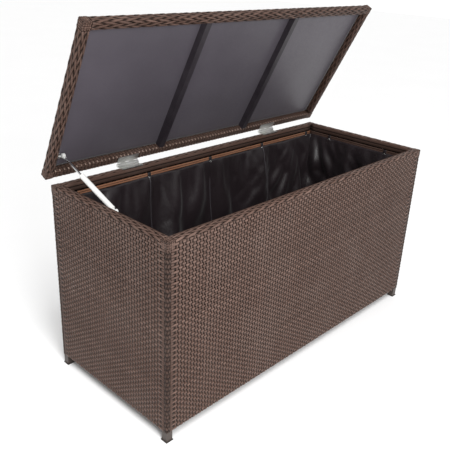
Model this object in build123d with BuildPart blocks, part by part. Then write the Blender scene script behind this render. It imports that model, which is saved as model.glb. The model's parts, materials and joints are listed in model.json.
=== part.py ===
from build123d import *
from math import atan2, cos, degrees, hypot, radians, sin
import os

# Deck storage box: an aluminium tube frame covered in woven wicker, a fabric liner,
# and a lid on two hinges that one gas strut holds open.
# Millimetres, +X along the length, the front faces -Y, +Z up.
# The origin is on the floor, under the middle of the box with its lid open.

# Driving dimensions, body
BODY_LENGTH = 1200.0
BODY_DEPTH = 500.0
RIM_HEIGHT = 600.0
FOOT_HEIGHT = 35.0
TUBE = 20.0
TUBE_WALL = 1.2
WICKER = 3.0
RIM_BAND = 10.0
UPRIGHT_SPACING = 400.0
BASE_BAR_COUNT = 3
BASE_BAR_SPACING = 300.0

# Driving dimensions, feet and frame bolts
GLIDE_LIP = 2.0
GLIDE_HEIGHT = 3.0
GLIDE_PLUG = 15.0
GLIDE_PLUG_GAP = 0.2
BOLT_THREAD = 6.0
BOLT_IN_LEG = 10.0
BOLT_HEAD = 11.0
BOLT_HEAD_HEIGHT = 3.5
BOLT_HOLE = 6.5
BOLT_INSET = 90.0
WASHER_WIDTH = 14.0
WASHER_THICKNESS = 1.2
INSERT_WIDTH = 9.0
INSERT_LENGTH = 12.0

# Driving dimensions, liner
LINER_FABRIC = 1.0
LINER_GAP = 2.0
LINER_DROP = 9.0
TIE_WIDTH = 14.0
TIE_OVERLAP = 16.0
TIE_END_INSET = 32.0
TIES_PER_LONG_SIDE = 5
TIE_FROM_MIDDLE = 125.0

# Driving dimensions, lid
LID_SIDE_OVERHANG = 11.0
LID_FRONT_OVERHANG = 0.0
LID_BAR_SPACING = 390.0
LINING_CLOTH = 1.0
OPEN_ANGLE = 63.0

# Driving dimensions, hinges
KNUCKLE_RADIUS = 6.0
PIVOT_BEHIND = 4.0
LEAF = 2.0
HINGE_LENGTH = 78.0
HINGE_FROM_END = 273.0
LEAF_FROM_EDGE = 2.0
KNUCKLES = 5
KNUCKLE_GAP = 0.3
KNUCKLE_RUNNING_GAP = 0.4
PIN_DIAMETER = 5.0
PIN_GAP = 0.1
PIN_HEAD = 8.0
PIN_HEAD_HEIGHT = 1.5
SCREW_DIAMETER = 4.0
SCREW_HEAD = 8.0
SCREW_LENGTH = 14.0
HINGE_SCREW_SPACING = 26.0

# Driving dimensions, gas strut
BRACKET = 2.0
BRACKET_LENGTH = 44.0
BRACKET_WIDTH = 16.0
BRACKET_SCREW_SPACING = 30.0
PAN_HEAD_HEIGHT = 2.4
BALL_DIAMETER = 8.0
STUD_DIAMETER = 5.0
STUD_REACH = 10.0
STUD_COLLAR = 11.0
STUD_COLLAR_HEIGHT = 3.0
SOCKET_DIAMETER = 13.0
SOCKET_WIDTH = 10.0
SOCKET_MOUTH = 7.2
SOCKET_NECK = 8.0
SOCKET_LENGTH = 12.0
BALL_GAP = 0.1
SLIDE_PAST = 0.3
CYLINDER_DIAMETER = 15.0
CYLINDER_WALL = 1.0
CYLINDER_LENGTH = 147.0
CYLINDER_END = 3.0
GUIDE_LENGTH = 8.0
PISTON_LENGTH = 10.0
PISTON_STOP = 2.0
ROD_DIAMETER = 6.0
ROD_GAP = 0.1
LOWER_BALL_FORWARD = 0.0
UPPER_BALL_FROM_EDGE = 70.0

# Body faces, worked out in the body's own frame: each is a distance from its middle
X_OUT = BODY_LENGTH / 2
X_TUBE = X_OUT - WICKER
X_IN = X_TUBE - TUBE
X_CLEAR = X_IN - WICKER
Y_OUT = BODY_DEPTH / 2
Y_TUBE = Y_OUT - WICKER
Y_IN = Y_TUBE - TUBE
Y_CLEAR = Y_IN - WICKER
Y_STILE = Y_IN - TUBE
Z_TOP = RIM_HEIGHT - WICKER
Z_RAIL = Z_TOP - TUBE
Z_UNDER_RIM = Z_RAIL - WICKER
Z_BASE_RAIL = FOOT_HEIGHT + WICKER
Z_BASE_BARS = Z_BASE_RAIL + TUBE
Z_BASE = Z_BASE_BARS + WICKER
Z_BAND = RIM_HEIGHT - RIM_BAND
WRAPPED = TUBE + 2 * WICKER

# Lid faces, in the lid's own frame, which has its origin on the hinge axis
LID_X_OUT = X_OUT + LID_SIDE_OVERHANG
LID_X_TUBE = LID_X_OUT - WICKER
LID_X_IN = LID_X_TUBE - TUBE
LID_X_CLEAR = LID_X_IN - WICKER
LID_BACK = -PIVOT_BEHIND
LID_FRONT = LID_BACK - BODY_DEPTH - LID_FRONT_OVERHANG
LID_UNDER = KNUCKLE_RADIUS
LID_TOP = LID_UNDER + WRAPPED
LID_TUBE_LOW = LID_UNDER + WICKER
LID_TUBE_TOP = LID_TUBE_LOW + TUBE

# The open lid's back edge reaches behind the body, which sets the middle of the whole box
LEAN = radians(OPEN_ANGLE)
PIVOT_Y = Y_OUT + PIVOT_BEHIND
PIVOT_Z = RIM_HEIGHT + KNUCKLE_RADIUS
OPEN_REACH = PIVOT_Y + LID_BACK * cos(LEAN) + LID_TOP * sin(LEAN)
BODY_Y = -(OPEN_REACH - Y_OUT) / 2

# Gas strut ball centres in the body's frame, with the lid open
STRUT_X = -(X_CLEAR - BRACKET - STUD_REACH)
LOWER_Y = -LOWER_BALL_FORWARD
LOWER_Z = RIM_HEIGHT - WRAPPED / 2
UPPER_LID_Y = LID_BACK - UPPER_BALL_FROM_EDGE
UPPER_LID_Z = LID_UNDER + WRAPPED / 2
UPPER_Y = PIVOT_Y + UPPER_LID_Y * cos(LEAN) + UPPER_LID_Z * sin(LEAN)
UPPER_Z = PIVOT_Z - UPPER_LID_Y * sin(LEAN) + UPPER_LID_Z * cos(LEAN)
STRUT_RISE = atan2(UPPER_Z - LOWER_Z, UPPER_Y - LOWER_Y)
STRUT_OPEN = hypot(UPPER_Z - LOWER_Z, UPPER_Y - LOWER_Y)

# Home planes: the body stands upright, the lid leans back, the strut points up at the lid
BODY = Plane(origin=(0, BODY_Y, 0))
LID = Plane(
    origin=(0, BODY_Y + PIVOT_Y, PIVOT_Z),
    x_dir=(1, 0, 0),
    z_dir=(0, sin(LEAN), cos(LEAN)),
)
STRUT = Plane(
    origin=(STRUT_X, BODY_Y + LOWER_Y, LOWER_Z),
    x_dir=(1, 0, 0),
    z_dir=(0, cos(STRUT_RISE), sin(STRUT_RISE)),
)
HINGE_HOME = Plane(origin=(0, BODY_Y + PIVOT_Y, PIVOT_Z))

SIDES = {"left": -1, "right": 1}
FACES = {"front": -1, "back": 1}
STARTS_AT_SEAT = (Align.CENTER, Align.CENTER, Align.MIN)
ENDS_AT_SEAT = (Align.CENTER, Align.CENTER, Align.MAX)
ALONG_X = (0, 90, 0)


def save(piece, label):
    """Names a finished piece and writes its file."""
    piece.part.label = label
    export_step(piece.part, f"parts/{label}.step")


def block(corner, far_corner, mode=Mode.ADD):
    """A box between two opposite corners."""
    middle = tuple((a + b) / 2 for a, b in zip(corner, far_corner))
    size = [abs(b - a) for a, b in zip(corner, far_corner)]
    with Locations(middle):
        Box(*size, mode=mode)


def hollow(corner, far_corner, along, wall):
    """Empties a box from end to end along one axis, leaving its wall on the other two."""
    low = [min(a, b) + wall for a, b in zip(corner, far_corner)]
    high = [max(a, b) - wall for a, b in zip(corner, far_corner)]
    low[along] -= 2 * wall
    high[along] += 2 * wall
    block(low, high, Mode.SUBTRACT)


def drill(at, turn, diameter, depth):
    """A round hole that starts at a point and runs along its turned Z axis."""
    with Locations(Location(at, turn)):
        Cylinder(diameter / 2, depth, align=STARTS_AT_SEAT, mode=Mode.SUBTRACT)


def make_tube(label, home, corner, far_corner, along, holes=()):
    """A square tube, open at both ends, with the holes that fasteners need."""
    with BuildPart(home) as tube:
        block(corner, far_corner)
        hollow(corner, far_corner, along, TUBE_WALL)
        for hole in holes:
            drill(*hole)
    save(tube, label)


def make_panel(label, home, corner, far_corner):
    """A flat woven or cloth panel."""
    with BuildPart(home) as panel:
        block(corner, far_corner)
    save(panel, label)


# Places that several pieces share
HINGE_CENTRES = {side: sign * (X_OUT - HINGE_FROM_END) for side, sign in SIDES.items()}
HINGE_SCREW_X = [
    centre + step * HINGE_SCREW_SPACING
    for centre in HINGE_CENTRES.values()
    for step in (-1, 0, 1)
]
HINGE_SCREW_Y = LID_BACK - WRAPPED / 2
UPRIGHT_X = (-UPRIGHT_SPACING / 2, UPRIGHT_SPACING / 2)
LID_BAR_X = (-LID_BAR_SPACING / 2, LID_BAR_SPACING / 2)
BASE_BAR_X = [(i - (BASE_BAR_COUNT - 1) / 2) * BASE_BAR_SPACING for i in range(BASE_BAR_COUNT)]
BOLT_LEVELS = (
    Z_BASE_RAIL + BOLT_INSET,
    (Z_BASE_RAIL + Z_TOP) / 2,
    Z_TOP - BOLT_INSET,
)
BOLT_X = X_IN + TUBE / 2
BRACKET_SCREW_Y = (-BRACKET_SCREW_SPACING / 2, BRACKET_SCREW_SPACING / 2)

os.makedirs("parts", exist_ok=True)

# Legs: a full-height tube at each corner, bored for the threaded inserts
for face, toward in FACES.items():
    for side, sign in SIDES.items():
        make_tube(
            f"leg_{face}_{side}",
            BODY,
            (sign * X_IN, toward * Y_IN, GLIDE_HEIGHT),
            (sign * X_TUBE, toward * Y_TUBE, Z_TOP),
            2,
            [
                ((sign * BOLT_X, toward * (Y_IN - TUBE_WALL), level), (-90 * toward, 0, 0),
                 INSERT_WIDTH, 3 * TUBE_WALL)
                for level in BOLT_LEVELS
            ],
        )

# Front and back frames: a top rail, a bottom rail and two uprights between the legs
for face, toward in FACES.items():
    hinge_holes = [
        ((x, PIVOT_Y + HINGE_SCREW_Y, Z_TOP - 2 * TUBE_WALL), (0, 0, 0), SCREW_DIAMETER, WICKER * 2)
        for x in HINGE_SCREW_X
    ]
    make_tube(
        f"{face}_top_rail",
        BODY,
        (-X_IN, toward * Y_IN, Z_RAIL),
        (X_IN, toward * Y_TUBE, Z_TOP),
        0,
        hinge_holes if face == "back" else (),
    )
    make_tube(
        f"{face}_bottom_rail",
        BODY,
        (-X_IN, toward * Y_IN, Z_BASE_RAIL),
        (X_IN, toward * Y_TUBE, Z_BASE_BARS),
        0,
    )
with BuildPart(BODY) as uprights:
    for toward in FACES.values():
        for x in UPRIGHT_X:
            corner = (x - TUBE / 2, toward * Y_IN, Z_BASE_BARS)
            far_corner = (x + TUBE / 2, toward * Y_TUBE, Z_RAIL)
            block(corner, far_corner)
            hollow(corner, far_corner, 2, TUBE_WALL)
save(uprights, "wall_uprights")

# End frames: a top rail and a bottom rail between two stiles, which bolt to the legs
for side, sign in SIDES.items():
    strut_holes = [
        ((-X_CLEAR, y + LOWER_Y, LOWER_Z), (0, -90, 0), SCREW_DIAMETER, WICKER + 2 * TUBE_WALL)
        for y in BRACKET_SCREW_Y
    ]
    make_tube(
        f"{side}_top_rail",
        BODY,
        (sign * X_IN, -Y_STILE, Z_RAIL),
        (sign * X_TUBE, Y_STILE, Z_TOP),
        1,
        strut_holes if side == "left" else (),
    )
    make_tube(
        f"{side}_bottom_rail",
        BODY,
        (sign * X_IN, -Y_STILE, Z_BASE_RAIL),
        (sign * X_TUBE, Y_STILE, Z_BASE_BARS),
        1,
    )
with BuildPart(BODY) as stiles:
    for sign in SIDES.values():
        for toward in FACES.values():
            corner = (sign * X_IN, toward * Y_STILE, Z_BASE_RAIL)
            far_corner = (sign * X_TUBE, toward * Y_IN, Z_TOP)
            block(corner, far_corner)
            hollow(corner, far_corner, 2, TUBE_WALL)
            for level in BOLT_LEVELS:
                drill(
                    (sign * BOLT_X, toward * (Y_STILE - TUBE_WALL), level),
                    (-90 * toward, 0, 0),
                    BOLT_HOLE,
                    TUBE + 2 * TUBE_WALL,
                )
save(stiles, "end_stiles")

# Base: cross bars between the bottom rails, under a woven floor
with BuildPart(BODY) as base_bars:
    for x in BASE_BAR_X:
        corner = (x - TUBE / 2, -Y_IN, Z_BASE_RAIL)
        far_corner = (x + TUBE / 2, Y_IN, Z_BASE_BARS)
        block(corner, far_corner)
        hollow(corner, far_corner, 1, TUBE_WALL)
save(base_bars, "base_cross_bars")
make_panel("base_weave", BODY, (-X_CLEAR, -Y_CLEAR, Z_BASE_BARS), (X_CLEAR, Y_CLEAR, Z_BASE))

# Woven walls, outside the tubes and flush with the wicker on the corners
for face, toward in FACES.items():
    make_panel(
        f"{face}_weave",
        BODY,
        (-X_CLEAR, toward * Y_TUBE, FOOT_HEIGHT),
        (X_CLEAR, toward * Y_OUT, Z_BAND),
    )
for side, sign in SIDES.items():
    make_panel(
        f"{side}_weave",
        BODY,
        (sign * X_TUBE, -Y_CLEAR, FOOT_HEIGHT),
        (sign * X_OUT, Y_CLEAR, Z_BAND),
    )

# Wicker wound on the corners: the two outer faces of each leg and its top
with BuildPart(BODY) as leg_wraps:
    for toward in FACES.values():
        for sign in SIDES.values():
            block((sign * X_CLEAR, toward * Y_TUBE, FOOT_HEIGHT), (sign * X_OUT, toward * Y_OUT, Z_TOP))
            block((sign * X_TUBE, toward * Y_CLEAR, FOOT_HEIGHT), (sign * X_OUT, toward * Y_OUT, Z_TOP))
            block((sign * X_CLEAR, toward * Y_CLEAR, Z_TOP), (sign * X_OUT, toward * Y_OUT, RIM_HEIGHT))
save(leg_wraps, "leg_wraps")

# Wicker wound on the rim: it closes the top, the inside and the underside of each top rail
for face, toward in FACES.items():
    with BuildPart(BODY) as rim_wrap:
        block((-X_CLEAR, toward * Y_CLEAR, Z_UNDER_RIM), (X_CLEAR, toward * Y_OUT, RIM_HEIGHT))
        block((-X_OUT, toward * Y_IN, Z_RAIL), (X_OUT, toward * Y_TUBE, Z_TOP), Mode.SUBTRACT)
        block((-X_OUT, toward * Y_TUBE, 0), (X_OUT, toward * Y_OUT, Z_BAND), Mode.SUBTRACT)
        for x in UPRIGHT_X:
            upright_foot = (x - TUBE / 2, toward * Y_IN, 0)
            block(upright_foot, (x + TUBE / 2, toward * Y_TUBE, Z_RAIL), Mode.SUBTRACT)
        if face == "back":
            for x in HINGE_SCREW_X:
                drill((x, PIVOT_Y + HINGE_SCREW_Y, Z_TOP), (0, 0, 0), SCREW_DIAMETER, 2 * WICKER)
    save(rim_wrap, f"rim_wrap_{face}")
for side, sign in SIDES.items():
    with BuildPart(BODY) as rim_wrap:
        block((sign * X_CLEAR, -Y_CLEAR, Z_UNDER_RIM), (sign * X_OUT, Y_CLEAR, RIM_HEIGHT))
        block((sign * X_IN, -Y_OUT, Z_RAIL), (sign * X_TUBE, Y_OUT, Z_TOP), Mode.SUBTRACT)
        block((sign * X_TUBE, -Y_OUT, 0), (sign * X_OUT, Y_OUT, Z_BAND), Mode.SUBTRACT)
        for toward in FACES.values():
            stile_foot = (sign * X_IN, toward * Y_STILE, 0)
            block(stile_foot, (sign * X_TUBE, toward * Y_OUT, Z_RAIL), Mode.SUBTRACT)
        if side == "left":
            for y in BRACKET_SCREW_Y:
                drill((-X_CLEAR, y + LOWER_Y, LOWER_Z), (0, -90, 0), SCREW_DIAMETER, 2 * WICKER)
    save(rim_wrap, f"rim_wrap_{side}")

# Wicker wound on the bottom rails: the underside, the inside and the top of each
with BuildPart(BODY) as bottom_wraps:
    for toward in FACES.values():
        block((-X_CLEAR, toward * Y_CLEAR, FOOT_HEIGHT), (X_CLEAR, toward * Y_TUBE, Z_BASE))
        block((-X_OUT, toward * Y_IN, Z_BASE_RAIL), (X_OUT, toward * Y_OUT, Z_BASE_BARS), Mode.SUBTRACT)
        for x in UPRIGHT_X:
            upright_foot = (x - TUBE / 2, toward * Y_IN, Z_BASE_BARS)
            block(upright_foot, (x + TUBE / 2, toward * Y_OUT, RIM_HEIGHT), Mode.SUBTRACT)
    for sign in SIDES.values():
        block((sign * X_CLEAR, -Y_CLEAR, FOOT_HEIGHT), (sign * X_TUBE, Y_CLEAR, Z_BASE))
        block((sign * X_IN, -Y_OUT, Z_BASE_RAIL), (sign * X_OUT, Y_OUT, Z_BASE_BARS), Mode.SUBTRACT)
        for toward in FACES.values():
            stile_foot = (sign * X_IN, toward * Y_STILE, Z_BASE_RAIL)
            block(stile_foot, (sign * X_OUT, toward * Y_OUT, RIM_HEIGHT), Mode.SUBTRACT)
    for x in BASE_BAR_X:
        block((x - TUBE / 2, -Y_IN, Z_BASE_RAIL), (x + TUBE / 2, Y_IN, Z_BASE_BARS), Mode.SUBTRACT)
save(bottom_wraps, "bottom_rail_wraps")

# Foot glides: a cap under each leg with a plug up inside the tube
CAP = TUBE + 2 * GLIDE_LIP
PLUG = TUBE - 2 * TUBE_WALL - 2 * GLIDE_PLUG_GAP
with BuildPart(BODY) as glides:
    for toward in FACES.values():
        for sign in SIDES.values():
            with Locations((sign * (X_IN + TUBE / 2), toward * (Y_IN + TUBE / 2), 0)):
                Box(CAP, CAP, GLIDE_HEIGHT, align=STARTS_AT_SEAT)
                Box(PLUG, PLUG, GLIDE_HEIGHT + GLIDE_PLUG, align=STARTS_AT_SEAT)
    chamfer(glides.edges().group_by(Axis.Z)[0], GLIDE_HEIGHT / 4)
save(glides, "foot_glides")

# Frame bolts: through each stile into a threaded insert in the leg beside it
bolt_seats = [
    ((sign * BOLT_X, toward * Y_STILE, level), (-90 * toward, 0, 0))
    for toward in FACES.values()
    for sign in SIDES.values()
    for level in BOLT_LEVELS
]
with BuildPart(BODY) as frame_bolts:
    for at, turn in bolt_seats:
        with Locations(Location(at, turn)):
            Cylinder(BOLT_THREAD / 2, TUBE + BOLT_IN_LEG, align=STARTS_AT_SEAT)
            Cylinder(BOLT_THREAD / 2, WASHER_THICKNESS, align=ENDS_AT_SEAT)
            with Locations((0, 0, -WASHER_THICKNESS)):
                Cylinder(BOLT_HEAD / 2, BOLT_HEAD_HEIGHT, align=ENDS_AT_SEAT)
save(frame_bolts, "frame_bolts")
with BuildPart(BODY) as washers:
    for at, turn in bolt_seats:
        with Locations(Location(at, turn)):
            Cylinder(WASHER_WIDTH / 2, WASHER_THICKNESS, align=ENDS_AT_SEAT)
            Cylinder(BOLT_HOLE / 2, WASHER_THICKNESS, align=ENDS_AT_SEAT, mode=Mode.SUBTRACT)
save(washers, "frame_bolt_washers")
with BuildPart(BODY) as inserts:
    for at, turn in bolt_seats:
        with Locations(Location(at, turn)):
            with Locations((0, 0, TUBE)):
                Cylinder(INSERT_WIDTH / 2, INSERT_LENGTH, align=STARTS_AT_SEAT)
                Cylinder(BOLT_THREAD / 2, INSERT_LENGTH, align=STARTS_AT_SEAT, mode=Mode.SUBTRACT)
save(inserts, "threaded_inserts")

# Liner: an open bag that stands on the woven floor and hangs from ties below the rim
LINER_X = X_CLEAR - LINER_GAP
LINER_Y = Y_CLEAR - LINER_GAP
LINER_TOP = Z_UNDER_RIM - LINER_DROP
with BuildPart(BODY) as liner:
    block((-LINER_X, -LINER_Y, Z_BASE), (LINER_X, LINER_Y, LINER_TOP))
    block(
        (-LINER_X + LINER_FABRIC, -LINER_Y + LINER_FABRIC, Z_BASE + LINER_FABRIC),
        (LINER_X - LINER_FABRIC, LINER_Y - LINER_FABRIC, RIM_HEIGHT),
        Mode.SUBTRACT,
    )
save(liner, "liner_bag")
tie_spacing = 2 * (LINER_X - TIE_END_INSET) / (TIES_PER_LONG_SIDE - 1)
with BuildPart(BODY) as ties:
    for i in range(TIES_PER_LONG_SIDE):
        x = (i - (TIES_PER_LONG_SIDE - 1) / 2) * tie_spacing
        for toward in FACES.values():
            block(
                (x - TIE_WIDTH / 2, toward * LINER_Y, LINER_TOP - TIE_OVERLAP),
                (x + TIE_WIDTH / 2, toward * (LINER_Y + LINER_FABRIC), Z_UNDER_RIM),
            )
    for sign in SIDES.values():
        for toward in FACES.values():
            y = toward * TIE_FROM_MIDDLE
            block(
                (sign * LINER_X, y - TIE_WIDTH / 2, LINER_TOP - TIE_OVERLAP),
                (sign * (LINER_X + LINER_FABRIC), y + TIE_WIDTH / 2, Z_UNDER_RIM),
            )
save(ties, "liner_ties")

# Lid frame: four rails, the side rails between the long ones
lid_hinge_holes = [
    ((x, HINGE_SCREW_Y, LID_UNDER), (0, 0, 0), SCREW_DIAMETER, WICKER + 2 * TUBE_WALL)
    for x in HINGE_SCREW_X
]
lid_rails = {
    "lid_back_rail": (LID_BACK - WICKER, LID_BACK - WICKER - TUBE, lid_hinge_holes),
    "lid_front_rail": (LID_FRONT + WICKER + TUBE, LID_FRONT + WICKER, ()),
}
for label, (near, far, holes) in lid_rails.items():
    make_tube(label, LID, (-LID_X_TUBE, far, LID_TUBE_LOW), (LID_X_TUBE, near, LID_TUBE_TOP), 0, holes)
LID_Y_NEAR = LID_BACK - WICKER - TUBE
LID_Y_FAR = LID_FRONT + WICKER + TUBE
for side, sign in SIDES.items():
    lid_strut_holes = [
        ((-LID_X_CLEAR, y + UPPER_LID_Y, UPPER_LID_Z), (0, -90, 0), SCREW_DIAMETER, WICKER + 2 * TUBE_WALL)
        for y in BRACKET_SCREW_Y
    ]
    make_tube(
        f"lid_{side}_rail",
        LID,
        (sign * LID_X_IN, LID_Y_FAR, LID_TUBE_LOW),
        (sign * LID_X_TUBE, LID_Y_NEAR, LID_TUBE_TOP),
        1,
        lid_strut_holes if side == "left" else (),
    )
LID_BAR_TOP = LID_TUBE_TOP - LINING_CLOTH
with BuildPart(LID) as lid_bars:
    for x in LID_BAR_X:
        corner = (x - TUBE / 2, LID_Y_FAR, LID_BAR_TOP - TUBE)
        far_corner = (x + TUBE / 2, LID_Y_NEAR, LID_BAR_TOP)
        block(corner, far_corner)
        hollow(corner, far_corner, 1, TUBE_WALL)
save(lid_bars, "lid_cross_bars")

# Lid covering: a woven top, a cloth lining under it and wicker wound on the four rails
make_panel(
    "lid_weave",
    LID,
    (-LID_X_OUT + RIM_BAND, LID_FRONT + RIM_BAND, LID_TUBE_TOP),
    (LID_X_OUT - RIM_BAND, LID_BACK - RIM_BAND, LID_TOP),
)
make_panel(
    "lid_lining",
    LID,
    (-LID_X_CLEAR, LID_Y_FAR + WICKER, LID_TUBE_TOP - LINING_CLOTH),
    (LID_X_CLEAR, LID_Y_NEAR - WICKER, LID_TUBE_TOP),
)
with BuildPart(LID) as lid_wraps:
    block((-LID_X_OUT, LID_FRONT, LID_UNDER), (LID_X_OUT, LID_BACK, LID_TOP))
    block(
        (-LID_X_CLEAR, LID_Y_FAR + WICKER, 0),
        (LID_X_CLEAR, LID_Y_NEAR - WICKER, LID_TOP),
        Mode.SUBTRACT,
    )
    block(
        (-LID_X_OUT + RIM_BAND, LID_FRONT + RIM_BAND, LID_TUBE_TOP),
        (LID_X_OUT - RIM_BAND, LID_BACK - RIM_BAND, LID_TOP),
        Mode.SUBTRACT,
    )
    for near, far in ((LID_BACK - WICKER, LID_Y_NEAR), (LID_Y_FAR, LID_FRONT + WICKER)):
        block((-LID_X_TUBE, far, LID_TUBE_LOW), (LID_X_TUBE, near, LID_TUBE_TOP), Mode.SUBTRACT)
    for sign in SIDES.values():
        block(
            (sign * LID_X_IN, LID_Y_FAR, LID_TUBE_LOW),
            (sign * LID_X_TUBE, LID_Y_NEAR, LID_TUBE_TOP),
            Mode.SUBTRACT,
        )
    for x in LID_BAR_X:
        block(
            (x - TUBE / 2, LID_Y_FAR, LID_BAR_TOP - TUBE),
            (x + TUBE / 2, LID_Y_NEAR, LID_BAR_TOP),
            Mode.SUBTRACT,
        )
    for x in HINGE_SCREW_X:
        drill((x, HINGE_SCREW_Y, LID_UNDER - WICKER), (0, 0, 0), SCREW_DIAMETER, 3 * WICKER)
    for y in BRACKET_SCREW_Y:
        drill((-LID_X_CLEAR, y + UPPER_LID_Y, UPPER_LID_Z), (0, -90, 0), SCREW_DIAMETER, 2 * WICKER)
save(lid_wraps, "lid_rail_wraps")

# Hinges: the body's leaf is level with the bottom of its knuckles, the lid's with the top
KNUCKLE_PITCH = HINGE_LENGTH / KNUCKLES


def make_leaf(label, home, centre, level, first_knuckle):
    """One leaf: a plate, every second knuckle, and three countersunk holes from the open face."""
    inner = level * (KNUCKLE_RADIUS - LEAF)
    outer = level * KNUCKLE_RADIUS
    notch = -(KNUCKLE_RADIUS + KNUCKLE_RUNNING_GAP)
    half = HINGE_LENGTH / 2
    with BuildPart(home) as leaf:
        front_edge = LID_BACK - WRAPPED + LEAF_FROM_EDGE
        block((centre - half, front_edge, inner), (centre + half, notch, outer))
        for i in range(first_knuckle, KNUCKLES, 2):
            start = centre - half + i * KNUCKLE_PITCH + KNUCKLE_GAP / 2
            end = start + KNUCKLE_PITCH - KNUCKLE_GAP
            block((start, notch, inner), (end, 0, outer))
            with Locations(Location(((start + end) / 2, 0, 0), ALONG_X)):
                Cylinder(KNUCKLE_RADIUS, end - start)
        with Locations(Location((centre, 0, 0), ALONG_X)):
            Cylinder(PIN_DIAMETER / 2 + PIN_GAP, HINGE_LENGTH, mode=Mode.SUBTRACT)
        for step in (-1, 0, 1):
            at = (centre + step * HINGE_SCREW_SPACING, HINGE_SCREW_Y, inner)
            with Locations(Location(at, (90 - 90 * level, 0, 0))):
                Cone(SCREW_HEAD / 2, SCREW_DIAMETER / 2, LEAF, align=STARTS_AT_SEAT, mode=Mode.SUBTRACT)
    save(leaf, label)


def make_hinge_screws(label, home, level):
    """Countersunk screws, their heads flush with the leaf's open face."""
    inner = level * (KNUCKLE_RADIUS - LEAF)
    with BuildPart(home) as screws:
        for x in HINGE_SCREW_X:
            with Locations(Location((x, HINGE_SCREW_Y, inner), (90 - 90 * level, 0, 0))):
                Cone(SCREW_HEAD / 2, SCREW_DIAMETER / 2, LEAF, align=STARTS_AT_SEAT)
                with Locations((0, 0, LEAF)):
                    Cylinder(SCREW_DIAMETER / 2, SCREW_LENGTH, align=STARTS_AT_SEAT)
    save(screws, label)


for side, centre in HINGE_CENTRES.items():
    make_leaf(f"hinge_{side}_body_leaf", HINGE_HOME, centre, -1, 0)
    make_leaf(f"hinge_{side}_lid_leaf", LID, centre, 1, 1)
with BuildPart(HINGE_HOME) as pins:
    for centre in HINGE_CENTRES.values():
        with Locations(Location((centre, 0, 0), ALONG_X)):
            Cylinder(PIN_DIAMETER / 2, HINGE_LENGTH)
            for end in (-1, 1):
                with Locations((0, 0, end * (HINGE_LENGTH + PIN_HEAD_HEIGHT) / 2)):
                    Cylinder(PIN_HEAD / 2, PIN_HEAD_HEIGHT)
save(pins, "hinge_pins")
make_hinge_screws("hinge_screws_body", HINGE_HOME, -1)
make_hinge_screws("hinge_screws_lid", LID, 1)

# Gas strut brackets: flat plates screwed to the inner faces of the body's and the lid's left rails
with BuildPart(BODY) as body_bracket:
    block(
        (-X_CLEAR, LOWER_Y - BRACKET_LENGTH / 2, LOWER_Z - BRACKET_WIDTH / 2),
        (-X_CLEAR + BRACKET, LOWER_Y + BRACKET_LENGTH / 2, LOWER_Z + BRACKET_WIDTH / 2),
    )
    drill((-X_CLEAR, LOWER_Y, LOWER_Z), ALONG_X, STUD_DIAMETER, BRACKET)
    for y in BRACKET_SCREW_Y:
        drill((-X_CLEAR, y + LOWER_Y, LOWER_Z), ALONG_X, SCREW_DIAMETER, BRACKET)
    fillet(body_bracket.edges().filter_by(Axis.X).filter_by(GeomType.LINE), BRACKET_WIDTH / 4)
save(body_bracket, "strut_body_bracket")
with BuildPart(LID) as lid_bracket:
    block(
        (-LID_X_CLEAR, UPPER_LID_Y - BRACKET_LENGTH / 2, UPPER_LID_Z - BRACKET_WIDTH / 2),
        (-LID_X_CLEAR + BRACKET, UPPER_LID_Y + BRACKET_LENGTH / 2, UPPER_LID_Z + BRACKET_WIDTH / 2),
    )
    for y in BRACKET_SCREW_Y:
        drill((-LID_X_CLEAR, y + UPPER_LID_Y, UPPER_LID_Z), ALONG_X, SCREW_DIAMETER, BRACKET)
    fillet(lid_bracket.edges().filter_by(Axis.X).filter_by(GeomType.LINE), BRACKET_WIDTH / 4)
    with Locations(Location((-LID_X_CLEAR, UPPER_LID_Y, UPPER_LID_Z), ALONG_X)):
        Cylinder(
            STUD_COLLAR / 2,
            STRUT_X - STUD_REACH - SLIDE_PAST + LID_X_CLEAR,
            align=STARTS_AT_SEAT,
        )
save(lid_bracket, "strut_lid_bracket")


def make_pan_screws(label, home, x, middle_y, z):
    """Two pan head screws, sideways through a bracket into the rail behind it."""
    with BuildPart(home) as screws:
        for y in BRACKET_SCREW_Y:
            with Locations(Location((x + BRACKET, middle_y + y, z), (0, -90, 0))):
                Cylinder(SCREW_HEAD / 2, PAN_HEAD_HEIGHT, align=ENDS_AT_SEAT)
                Cylinder(SCREW_DIAMETER / 2, SCREW_LENGTH, align=STARTS_AT_SEAT)
    save(screws, label)


make_pan_screws("strut_screws_body", BODY, -X_CLEAR, LOWER_Y, LOWER_Z)
make_pan_screws("strut_screws_lid", LID, -LID_X_CLEAR, UPPER_LID_Y, UPPER_LID_Z)

# Gas strut, along its own axis from the lower ball to the upper one
CYLINDER_START = SOCKET_LENGTH
CYLINDER_TOP = CYLINDER_START + CYLINDER_LENGTH
BORE = CYLINDER_DIAMETER - 2 * CYLINDER_WALL
PISTON_TOP = CYLINDER_TOP - GUIDE_LENGTH - PISTON_STOP


def ball_stud(height, tail):
    """A ball on a stem with a collar, pointing along +X, its ball at a height along the strut."""
    with Locations(Location((-STUD_REACH, 0, height), ALONG_X)):
        Cylinder(STUD_COLLAR / 2, STUD_COLLAR_HEIGHT, align=STARTS_AT_SEAT)
        Cylinder(STUD_DIAMETER / 2, STUD_REACH, align=STARTS_AT_SEAT)
        if tail:
            Cylinder(STUD_DIAMETER / 2, tail, align=ENDS_AT_SEAT)
    with Locations((0, 0, height)):
        Sphere(BALL_DIAMETER / 2)


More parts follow.
